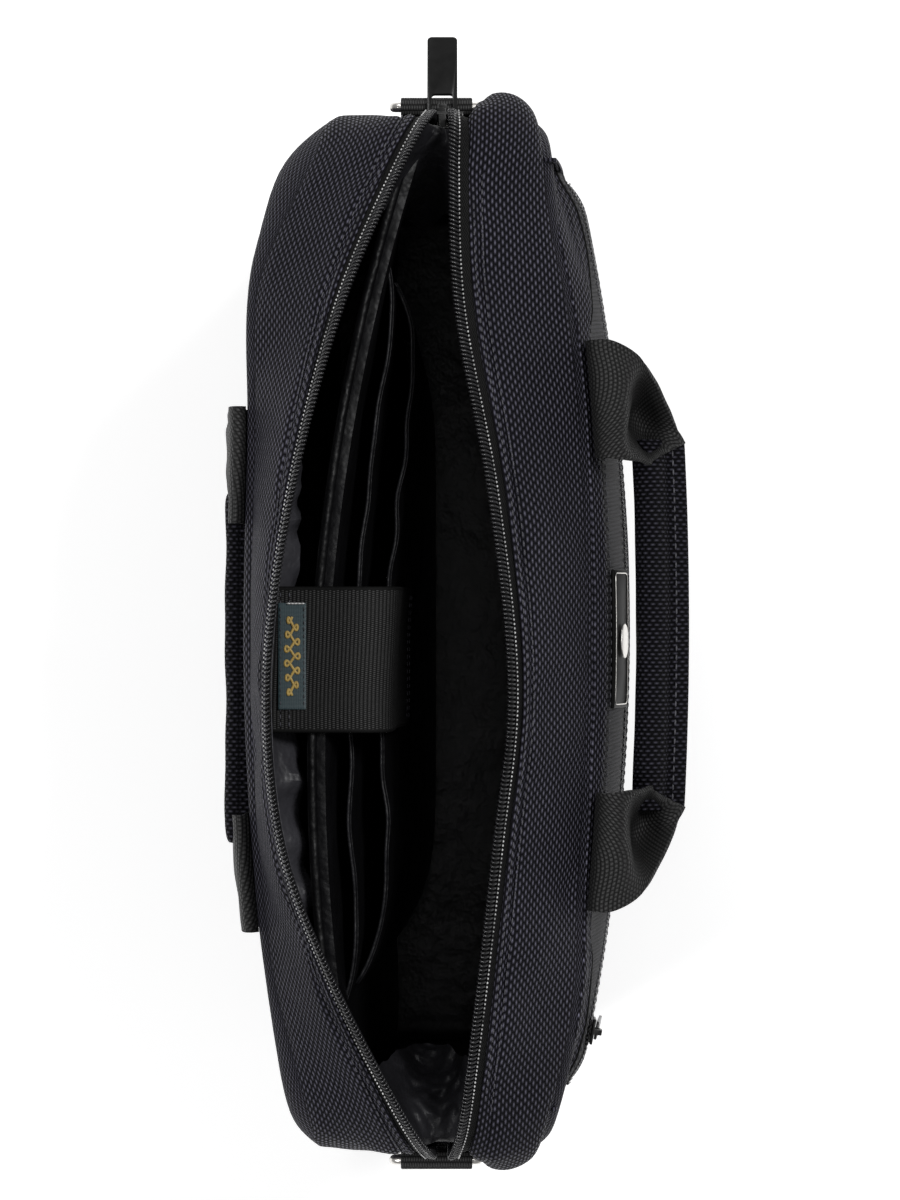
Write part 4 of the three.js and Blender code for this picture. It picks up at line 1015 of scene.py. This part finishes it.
def make_label(loops=5.5):
    """The woven label on the strap behind its root, with a looped ornament, a bar and a sewn border."""
    (x0, y0, _), (x1, y1, z1) = low("strap_label"), high("strap_label")
    u = np.linspace(x0, x1, 40)[None, :]
    v = np.linspace(y0, y1, 14)[:, None]
    rise = 0.25 * waves(vectors(u, v, 0), 30, 61)
    cloth("label_cloth", vectors(u, v, z1 + rise), 0.4, "label", ["strap_label"], body="strap", edge=0.3)
    t = np.linspace(0, 1, 260)
    x = (x0 + x1) / 2 + (t - 0.5) * 27 + 1.5 * np.sin(t * 4 * math.pi * loops)
    y = (y0 + y1) / 2 + np.sin(t * 2 * math.pi * loops) * 2.5 * (0.55 + 0.45 * np.sin(t * math.pi))
    tube("label_ornament", vectors(x, y, z1 + 0.3), 0.5, "label", "strap", sides=6, material=GOLD_THREAD,
         flat=0.5)
    bar = vectors(x1 - 0.2, y0 + 0.6 + np.linspace(0, 6, 12), z1 + 0.3)
    stitches("label_bar", [(bar, (0, 0, 1))], body="strap", pitch=1.2, length=1.6, radius=0.3,
             material=SILVER_THREAD)
    x = np.linspace(x0 + 1, x1 - 1, 40)
    border = [(vectors(x, y, z1 + 0.15), (0, 0, 1)) for y in (y0 + 0.7, y1 - 0.7)]
    stitches("label_stitches", border, body="strap", pitch=2.2, length=1.6, radius=0.16)


def make_patch(node, body, near):
    """Half of the strap's hook and loop fastening, a distance in front of the file pocket."""
    x = np.linspace(STRAP_X[0] + 4.5, STRAP_X[1] - 4.5, 24)[None, :]
    z = np.linspace(204, HOOK_TOP, 20)[:, None]
    cloth(node + "_pad", vectors(x, front_file_y(x, z) - near + 0.02, z), 0.9, "hook_tape", [node], 1, body)


# ---- front pocket ----
POCKET_HALF, POCKET_TOP, POCKET_BASE, POCKET_CORNER = 163, 277, 18, 25
POCKET_TOP_HALF = 161.5
BAND_BASE, STRIP_BASE, CHAIN_Z = 246.3, 267, 237
PANEL_TOP = BAND_BASE - 18
SEAM_Z = STRIP_BASE + 2.3
STRIP_LAP = 16


def pocket_y(x, z):
    rise = FRONT_BOW * opened(z) + 13 * np.maximum(1 - ((z - 148) / 130) ** 2, 0) ** 0.7
    edge = 8.2 + (3.2 - 8.2) * (z / POCKET_TOP) ** 6
    return FRONT_Y - edge - bow(x, rise)


def lean(z):
    """The pocket's top slopes back to the panel above its zip."""
    return 3.3 * smooth((z - 246) / 23)


def pocket_front(x, z):
    """The pocket's face, tucked in towards its two ends and most of all at its top corners."""
    tuck = 9 * smooth((np.abs(x) - 108) / 54) * smooth((z - 238) / 38)
    return pocket_y(x, z) + tuck + 4 * smooth((np.abs(x) - 146) / 16)


def pocket_half(z):
    return corner_width(POCKET_HALF, POCKET_CORNER, POCKET_BASE + POCKET_CORNER - z)


def pocket_strip(z0, z1, rows, out=0.0):
    z = np.linspace(z0, z1, rows)[:, None]
    x = np.linspace(-POCKET_TOP_HALF, POCKET_TOP_HALF, 160)[None, :]
    return vectors(x, pocket_front(x, z) - out + lean(z), z)


def make_pocket_strip():
    """The ballistic strip at the top, rolled over onto the bag. Towards its ends it laps over the band."""
    strip = pocket_strip(SEAM_Z, POCKET_TOP + 0.6, 12, 0.1)
    across = np.linspace(0, 1, 12)[:, None]
    join = smooth((across - 0.35) / 0.65)
    panel = panel_y("front", strip[..., 0], strip[..., 2]) - 0.6
    strip[..., 1] = strip[..., 1] * (1 - join) + panel * join - 0.5 * arch(across, 0.6)
    strip[..., 1] += 0.25 * waves(strip, 30, 71) * arch(across)
    strip[..., 2] -= 9 * smooth((np.abs(strip[..., 0]) - 134) / 28) * across
    lap = smooth((np.abs(strip[..., 0]) - 96) / 44) * (1 - across)
    x, z = strip[..., 0], strip[..., 2]
    lower = z - STRIP_LAP * lap
    strip[..., 1] += pocket_front(x, lower) - pocket_front(x, z) + lean(lower) - lean(z)
    strip[..., 1] -= 1.5 * smooth(lap * 3)
    strip[..., 2] = lower
    cloth("pocket_strip_cloth", strip, 1.2, "ballistic", ["pocket_top_strip"])
    return strip


def make_pocket_band():
    band = pocket_strip(BAND_BASE, SEAM_Z, 16, 0.1)
    across = np.linspace(0, 1, 16)[:, None]
    band[..., 1] -= 0.7 * arch(across, 0.5) + 0.2 * waves(band, 45, 72) * arch(across)
    cloth("pocket_band_cloth", band, 1.2, "twill", ["pocket_band"], held="stretched",
          on=["front_panel_cloth"])
    return band


def make_pocket_zip():
    """Two tapes and the chain between them."""
    for node, z0, z1 in (
        ("pocket_zip_upper_tape", CHAIN_Z + 2.4, BAND_BASE - 0.2),
        ("pocket_zip_lower_tape", PANEL_TOP + 0.3, CHAIN_Z - 2.4),
    ):
        cloth(node + "_cloth", pocket_strip(z0, z1, 6, -0.1), 0.6, "zip_tape", [node])
    x = np.linspace(-159, 159, 700)
    y = pocket_front(x, CHAIN_Z)
    for name, way, replaces in (("a", -1, ["pocket_zip_chain"]), ("b", 1, ())):
        centre = vectors(x, y + 0.1, CHAIN_Z + way * 1.35)
        ahead, up = vectors(0 * x, -1, 0), vectors(0 * x, 0, way)
        points = coil_wire(centre, up, ahead, 1.5, 2.6, 1.5, 0.34)
        wire = mesh_object("pocket_coil_" + name, points, grid_faces(*points.shape[:2], closed=True))
        settle(wire, "bag", "zip_coil", replaces)
        seam = vectors(x, y - 0.55, CHAIN_Z + way * 2.2)
        # the stitching beside each coil, its bright thread a painted glint of the coil
        stitches("pocket_coil_stitches_" + name, [(seam, (0, -1, 0))], pitch=1.5, length=0.9, radius=0.22,
                 slot="zip_tape", material=PAINTED_GLINT_THREAD)


def make_pocket_face():
    """The padded face below the zip."""
    z = (POCKET_BASE + edge_lines(PANEL_TOP - POCKET_BASE, 5))[:, None]
    x = (edge_lines(2 * POCKET_HALF, 6)[None, :] / POCKET_HALF - 1) * pocket_half(z)
    side_gap = np.minimum(pocket_half(z) - np.abs(x), z - POCKET_BASE)
    face = vectors(x, pocket_y(x, z) + 6 * np.clip(1 - side_gap / 14, 0, 1) ** 2, z)
    puff = smooth(side_gap / 16) * smooth((PANEL_TOP - z) / 14)
    face[..., 1] += puff * (0.6 * waves(face, 90, 73) + 0.2 * waves(face, 30, 74))
    face[..., 1] -= 1.0 * smooth((PANEL_TOP - z) / 5) * smooth(side_gap / 5)
    cloth("pocket_face_cloth", face, 1.8, "ballistic", ["pocket_front_panel"])
    x, z = np.linspace(-158, 158, 220), PANEL_TOP - 2.6
    seam = vectors(x, pocket_front(x, z) - 0.75, z)
    stitches("pocket_face_stitches", [(seam, (0, -1, 0))], pitch=3, length=2.1, radius=0.26, slot="ballistic")


def make_pocket_gusset():
    """The gusset behind the pocket's edge, down one side and up the other."""
    x, down, _ = three_sides(np.linspace(0, 1, 240), POCKET_TOP - POCKET_BASE - POCKET_CORNER, POCKET_CORNER,
                             POCKET_HALF)
    z = POCKET_TOP - down
    x = -x * np.where(z > PANEL_TOP, POCKET_TOP_HALF / POCKET_HALF, 1)
    near, far = panel_y("front", x, z) + 0.3, pocket_y(x, z) + np.where(z > PANEL_TOP, 4.4, 5.2)
    points = vectors(x, near + (far - near) * np.linspace(0, 1, 9)[:, None], z)
    cloth("pocket_gusset_cloth", points, 1.2, "ballistic", ["pocket_gusset"], 1)


def make_pocket():
    strip, band = make_pocket_strip(), make_pocket_band()
    rows = [(strip[3, 2:-2], (0, -1, 0.3)), (band[2, 2:-2], (0, -1, 0.2)), (band[-3, 40:-40], (0, -1, 0.2))]
    rows = [(line + [0, -0.2, 0], normal) for line, normal in rows]
    stitches("pocket_strip_stitches", rows, pitch=3, length=2.1, radius=0.26, slot="ballistic")
    tube("pocket_strip_seam", strip[0] + [0, 0.3, 0], 0.7, "ballistic", sides=8, material=TAPE)
    make_pocket_zip()
    make_pocket_face()
    make_pocket_gusset()


# ---- handles ----
WEB = 1.4
LEG_ROOT = 280.5
TILT = math.radians(22)
# leg: three lines along the webbing (its inner edge, middle and outer edge) as lengths across, out and up
# from its root, and alongs: where those lines meet the grip
HANDLES = {
    "front": dict(
        face="front", centre=3, offset=77, out=-1, foot=200, head=279.5, half=64, thick=11, fold=14.0,
        place=np.array([-67.6, 263.0]), away=np.array([-math.cos(TILT), -math.sin(TILT)]),
        alongs=(-1.5, 7.5, 15.5), leg=[
            [(0, 0, 0), (0, 2, 4.2), (-0.5, 6, 5.8), (-0.8, 10.5, 4.4), (-1, 15, -1), (-2, 18.5, -8)],
            [(0, 0, 0), (0, 2, 4.2), (0, 6.5, 5.8), (-0.5, 11.5, 3.5), (-4, 16, -5)],
            [(0, 0, 0), (0, 2, 4.2), (0, 7, 5.6), (-5, 17, 2), (-16, 25, -9)],
        ],
    ),
    "rear": dict(
        face="back", centre=-12, offset=70, out=1, foot=212, head=274, half=61.5, thick=10, fold=3.0,
        place=np.array([BACK_Y + BACK_BOW + 3.5, 246.0]), away=np.array([0.05, -1.0]) / math.hypot(0.05, 1),
        alongs=(1.5, 8.5, 15.5), leg=[
            [(0, -1, -7), (0, 1.2, -5), (0, 3.2, -8), (1, 3.4, -16), (5, 3.8, -25), (12.2, 4, -30)],
            [(0, -1, -7), (0, 1.2, -4.8), (0, 3.4, -8), (0, 3.8, -17), (-1, 4.6, -27), (-4, 5, -36)],
            [(0, -1, -7), (0, 1.2, -5), (0, 3.4, -8), (-0.5, 4.6, -18), (-4, 5.8, -31), (-13, 6.8, -44)],
        ],
    ),
}


def make_anchor(handle, label, way):
    """The webbing sewn flat on a wall, that a handle's leg comes out of."""
    spec = HANDLES[handle]
    face, out = spec["face"], spec["out"]
    middle = spec["centre"] + way * spec["offset"]
    x = middle - 20 + edge_row([0, 0.6, 2], 8, 5, 40)[None, :]
    z = np.linspace(spec["foot"], spec["head"], 50)[:, None]

    def on_wall(x, z, lift):
        return vectors(x, face_y(face, x, z) + out * (GAP + WEB + lift + swell(face, x, z)), z)

    name = f"{handle}_handle_anchor_{label}"
    cloth(name + "_webbing", on_wall(x, z, 0), WEB, "webbing", [name], -out, held="stretched",
          on=[face + "_panel_cloth"])
    boxes = box_stitches(lambda u, v: (on_wall(middle + u, spec["foot"] + 17 + v, 0.1), (0, out, 0)), 40, 34)
    stitches(name + "_stitches", boxes, pitch=2.8, length=2.0, radius=0.26)


def leg_line(handle, way, start, line, along):
    """One line along a handle's leg, from its root to the grip."""
    spec = HANDLES[handle]
    face, out = spec["face"], spec["out"]
    x = spec["centre"] + way * (spec["offset"] + start)
    y = face_y(face, x, TOP) + out * (GAP + WEB / 2)
    end = spec["place"] + along * spec["away"]
    reach = spec["half"] - 2
    if handle == "front":  # the inner half laps over the top of the grip's end
        lapped = (15.5 - along) / 17
        end = end + np.array([spec["away"][1], -spec["away"][0]]) * (2.2 + 4.6 * min(2 * lapped, 1))
        reach = spec["half"] - 1 - 7 * lapped
    else:
        y += float(swell(face, x, TOP))
    placed = [(x + way * across, y + out * o, LEG_ROOT + up) for across, o, up in line]
    return catmull(placed + [(spec["centre"] + way * reach, end[0], end[1])], 70)


def make_leg(handle, label, way):
    """A leg of webbing, curved through its three lines and folded in half towards the grip."""
    spec = HANDLES[handle]
    starts = (-20, 0, 20)
    curves = [leg_line(handle, way, *line) for line in zip(starts, spec["leg"], spec["alongs"])]
    u = edge_row([0, 0.015, 0.04], 0.08, 19)[None, :, None]
    weights = ((1 - u) * (1 - 2 * u), 4 * u * (1 - u), u * (2 * u - 1))
    points = sum(curve[:, None] * weight for curve, weight in zip(curves, weights))
    v = np.linspace(0, 1, len(points))[:, None]
    fold = smooth((v - 0.3) / 0.32) * (1 - 0.95 * smooth((v - 0.74) / 0.26))
    sink = fold * arch(u[..., 0]) * spec["fold"]
    if handle == "front":
        points[..., 2] -= sink
        points[..., 1] += 0.2 * sink
    else:
        points[..., 1] += sink * 0.35
    creases = smooth((v - 0.2) / 0.2) * smooth((1 - v) / 0.2)
    points = points + grid_normals(points) * (creases * 0.35 * waves(points, 16, 81 + way))[..., None]
    name = f"{handle}_handle_leg_{label}"
    leg = cloth(name + "_webbing", points, WEB, "webbing", [name], 0, None, held="folded",
                on=[handle + "_handle_wrap"])
    root, end = (points[k, points.shape[1] // 2] for k in (0, -1))
    end = root + (end - root) * 0.9
    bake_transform(leg)


def make_grip(handle):
    """A padded roll, a valley beside it and the sewn edge of its wrap."""
    spec, body = HANDLES[handle], handle + "_handle"
    half, reach, away = spec["thick"] / 2, spec["half"], spec["away"]
    across = np.array([-away[1], away[0]])
    outline = [(-0.2, 0), (0.6, -half * 0.62), (3.0, -half * 0.98), (6.2, -half), (9.4, -half * 0.82),
               (11.6, -half * 0.42), (13.0, -1.9), (14.6, -1.9), (17, -1.95), (19.4, -1.6), (20, -0.7)]
    ring = outline + [(x, -y) for x, y in outline[:0:-1]]
    ring = catmull([(x, y, 0) for x, y in ring + [ring[0]]], 61)[:-1, :2]

    def place(along, p, q):
        """A point of the grip, p away from its root and q across it; it is bowed a little."""
        bend = (along / reach) ** 2
        shift, out = (-0.8 - 1.8 * bend, 0) if handle == "front" else (0, -1.5)
        p = p * 0.95 + shift
        y = spec["place"][0] + p * away[0] + q * across[0] + out
        return vectors(spec["centre"] + along, y, spec["place"][1] + p * away[1] + q * across[1])

    along = (edge_lines(2 * reach, 3.2) - reach)[:, None]
    ends = np.clip(1 - (reach - np.abs(along)) / 5.0, 0, 1)
    shrink = 1 - 0.28 * (1 - np.sqrt(1 - ends**2))
    lumps = 0.045 * np.sin(along / 9.3) + 0.03 * np.sin(along / 4.1 + 1)
    p, q = ring.T[:, None]
    points = place(along, p, q * shrink * (1 + lumps * (p < 12.5)))
    points[..., 2] += 0.25 * waves(points, 22, 91)
    step = np.linalg.norm(ring - np.roll(ring, 1, 0), axis=1)
    uv = np.stack(np.broadcast_arrays(np.cumsum(step)[None, :], along), -1)
    piece = mesh_object(body + "_wrap", points, capped_faces(*points.shape[:2]), uv)
    round_edges(piece, 0.8, 60)
    settle(piece, body, "ballistic", [body + "_grip"], GRIP_BALLISTIC)
    t = np.linspace(3 - reach, reach - 3, 60)
    rows = [(place(t, 14.2, sign * 2.0), (0, sign * across[0], sign * across[1])) for sign in (-1, 1)]
    stitches(body + "_stitches", rows, body=body, pitch=3.2, length=2.3, radius=0.3)


# ---- luggage sleeve ----
SLEEVE_X, SLEEVE_Z = (-100, 83), (62, 202)


def make_sleeve():
    u = edge_row([0, 0.006, 0.015], 0.03, 70)[None, :]
    z = np.linspace(*SLEEVE_Z, 40)[:, None]
    x = SLEEVE_X[0] + (SLEEVE_X[1] - SLEEVE_X[0]) * u
    points = vectors(x, face_y("back", x, z) + GAP + 6.2 * plateau(2 * u - 1) + 1.2, z)
    points[..., 1] -= 0.6 * np.abs(waves(points, 60, 95)) * plateau(2 * u - 1)
    cloth("sleeve_cloth", points, 1.2, "twill", ["luggage_sleeve"], held="stretched", on=["back_panel_cloth"])
    for name, rows in (("low", slice(0, 4)), ("high", slice(-4, None))):
        cloth("sleeve_hem_" + name, points[rows] + [0, 0.7, 0], 0.9, "twill", material=BALLISTIC)
    runs = [(points[:, k] + [0, 0.25, 0], (0, 1, 0)) for k in (3, 5, -6, -4)]
    runs += [(points[k] + [0, 0.35, 0], (0, 1, 0)) for k in (4, -5)]
    stitches("sleeve_stitches", runs, pitch=3, length=2.1, radius=0.26, slot="twill")


# ---- strap rings, sliders, pullers and small fittings ----
RING_X, RING_Y, RING_Z = 184.2, 3, 247.2
TAB_HALF, TAB_FOOT = 12.5, 205
RING_HALF, RING_TILT = 14.4, math.radians(8)


def ribbon(name, path, y0, y1, thick, replaces, columns=9, **options):
    """Webbing of constant width along Y, following a path of (x, z) points."""
    y = np.linspace(y0, y1, columns)[None, :]
    cloth(name, vectors(path[:, None, 0], y, path[:, None, 1]), thick, "webbing", replaces, 0, **options)


def make_ring(label, way):
    """A tab of webbing, sewn to the bag's end and folded round the ring that hangs in it."""
    face = HALF_WIDTH + GAP
    around = [(face + 1.9, TAB_FOOT), (face + 1.9, 232), (RING_X + 2.6, RING_Z - 3)]
    for a in np.linspace(-0.25, math.pi * 1.05, 14):
        around.append((RING_X + 2.75 * math.cos(a), RING_Z + 2.75 * math.sin(a)))
    around += [(face + 0.7, RING_Z - 8), (face + 0.65, TAB_FOOT)]
    path = catmull_xz(around, 120) * [way, 1]
    name = label + "_ring_tab"
    ribbon(name + "_webbing", path, RING_Y - TAB_HALF, RING_Y + TAB_HALF, 1.2, [name], material=WIDE_WEBBING,
           held="folded", on=[label + "_d_ring_wire"])

    def on_tab(u, v):
        return vectors(way * (face + 2.65), RING_Y + u, 217 + v), (way, 0, 0)

    stitches(name + "_stitches", box_stitches(on_tab, 25, 24, 3), pitch=2.6, length=1.9, radius=0.26)
    half = RING_HALF
    shape = [(-half, 0), (0, 0), (half, 0), (half, -4), (half, -11)]
    shape += [(half * math.cos(a), -12.5 - 7.5 * math.sin(a)) for a in np.linspace(0.15, math.pi - 0.15, 11)]
    shape += [(-half, -11), (-half, -4), (-half, 0)]
    u, v = catmull_xz(shape, 140)[:-1].T
    loop = vectors(way * (RING_X - v * math.sin(RING_TILT)), RING_Y + u, RING_Z + v * math.cos(RING_TILT))
    tube(label + "_d_ring_wire", loop, 1.75, "nickel", label + "_ring", closed=True, sides=16,
         replaces=[label + "_d_ring"])


def rounded(node, body, width):
    """A hard piece with the CAD node's own form, its edges rounded and its faces smooth."""
    source = frame["nodes"][node]
    bpy.context.view_layer.update()
    made = bpy.data.objects.new(node + "_finish", source.data.copy())
    made.matrix_world = source.matrix_world.copy()
    bpy.context.scene.collection.objects.link(made)
    made.data.materials.clear()
    made.data.polygons.foreach_set("use_smooth", [True] * len(made.data.polygons))
    add_modifier(made, "WELD", merge_threshold=0.00002)
    round_edges(made, width, 35, segments=3, harden_normals=True)
    return settle(made, body, SLOT_FOR[node], [node])


def rectangle_path(x0, x1, z0, z1, radius, step=1.5):
    """A rectangle with rounded corners, as (x, z) points."""
    corners = ((x1 - radius, z1 - radius), (x0 + radius, z1 - radius), (x0 + radius, z0 + radius),
               (x1 - radius, z0 + radius))
    line = []
    for turn, (x, z) in enumerate(corners):
        for a in np.linspace(turn, turn + 1, 6) * math.pi / 2:
            line.append((x + radius * math.cos(a), z + radius * math.sin(a)))
    line = np.array(line + [line[0]])
    run = run_along(line)
    return pick(line, run, np.arange(0, run[-1] - step / 2, step))


def make_badge(sunk=0.7, inset=1.3):
    """The badge and its oval lean back with the pocket's top, and a bright line runs round the badge."""
    for badge in (rounded("badge_plate", "bag", 0.45), rounded("badge_oval", "bag", 0.15)):
        to_world, from_world = badge.matrix_world.copy(), badge.matrix_world.inverted()
        for vertex in badge.data.vertices:
            place = to_world @ vertex.co
            place.y += (float(lean(place.z / MM)) - sunk) * MM
            vertex.co = from_world @ place
    (x0, _, z0), (x1, _, z1) = low("badge_plate") + inset, high("badge_plate") - inset
    x, z = rectangle_path(x0, x1, z0, z1, 1.5).T
    line = vectors(x, pocket_y(x, z) - (GAP + 1.25) + lean(z) - sunk, z)
    tube("badge_outline", line, 0.2, "nickel", closed=True, sides=8)


def make_inner_loop(x=168, z=251):
    """A small closed loop of webbing inside the right end."""
    half = [(-0.6, 10.4), (-1.9, 8), (-1.95, 0), (-1.8, -8)]
    loop = half + [(0, -10.3)] + [(-dx, dz) for dx, dz in half[::-1]]
    path = catmull_xz([(x + dx, z + dz) for dx, dz in loop], 70)
    ribbon("inner_loop_webbing", path, 0, 8, 1.1, ["inner_loop"], columns=6)


def make_fittings():
    rounded("zip_slider", "main_slider", 0.35)
    rounded("zip_puller", "main_puller", 0.4)
    rounded("pocket_zip_slider", "pocket_slider", 0.2)
    rounded("pocket_zip_puller", "pocket_puller", 0.3)
    make_badge()
    rounded("zip_bottom_stop", "bag", 0.4)
    rounded("zip_top_stop_front", "bag", 0.35)
    rounded("zip_top_stop_back", "bag", 0.35)
    make_inner_loop()


def make_floor(half=40000, drop=0.3):
    """A bright, matt white floor under the bag."""
    corners = [(-half, -half, -drop), (half, -half, -drop), (half, half, -drop), (-half, half, -drop)]
    floor = mesh_object("floor", corners, [(0, 1, 2, 3)])
    white = plain_material("floor", greys((0.0, 0.86), (1.0, 0.9)), 0.9, 0.004, specular=0.1, depth=0.0)
    set_inputs(white.node_tree.nodes["Principled BSDF"], Emission_Color=(1, 1, 1, 1), Emission_Strength=0.45)
    floor.data.materials.append(white)


# ---- the whole bag ----
SIDES = ("back", "front")
for side in SIDES:
    make_panel(side)
    make_lip(side)
make_gusset()
for side in SIDES:
    make_padding(side)
for side in SIDES:
    make_seam(side)
for side in SIDES:
    make_wall_lining(side)
make_end_lining()
make_pleats()
make_divider()
make_file("rear_file_pocket", rear_file_y, REAR_FILE_HALF, 256, 43)
make_file("front_file_pocket", front_file_y, FRONT_FILE_HALF, 244, 47)
make_strap()
make_label()
make_patch("strap_loop_patch", "bag", GAP + 1)
make_patch("strap_hook_patch", "strap", 2 * GAP + 2)
make_pocket()
for handle in HANDLES:
    for label, way in (("left", -1), ("right", 1)):
        make_anchor(handle, label, way)
        make_leg(handle, label, way)
    make_grip(handle)
make_sleeve()
make_ring("left", -1)
make_ring("right", 1)
make_fittings()
make_floor()

# the CAD nodes that are still shown take their slots' materials
for node in frame["nodes"].values():
    if not node.hide_render:
        node.data.materials.clear()
        node.data.materials.append(MATERIAL_OF[SLOT_FOR[node.name]])
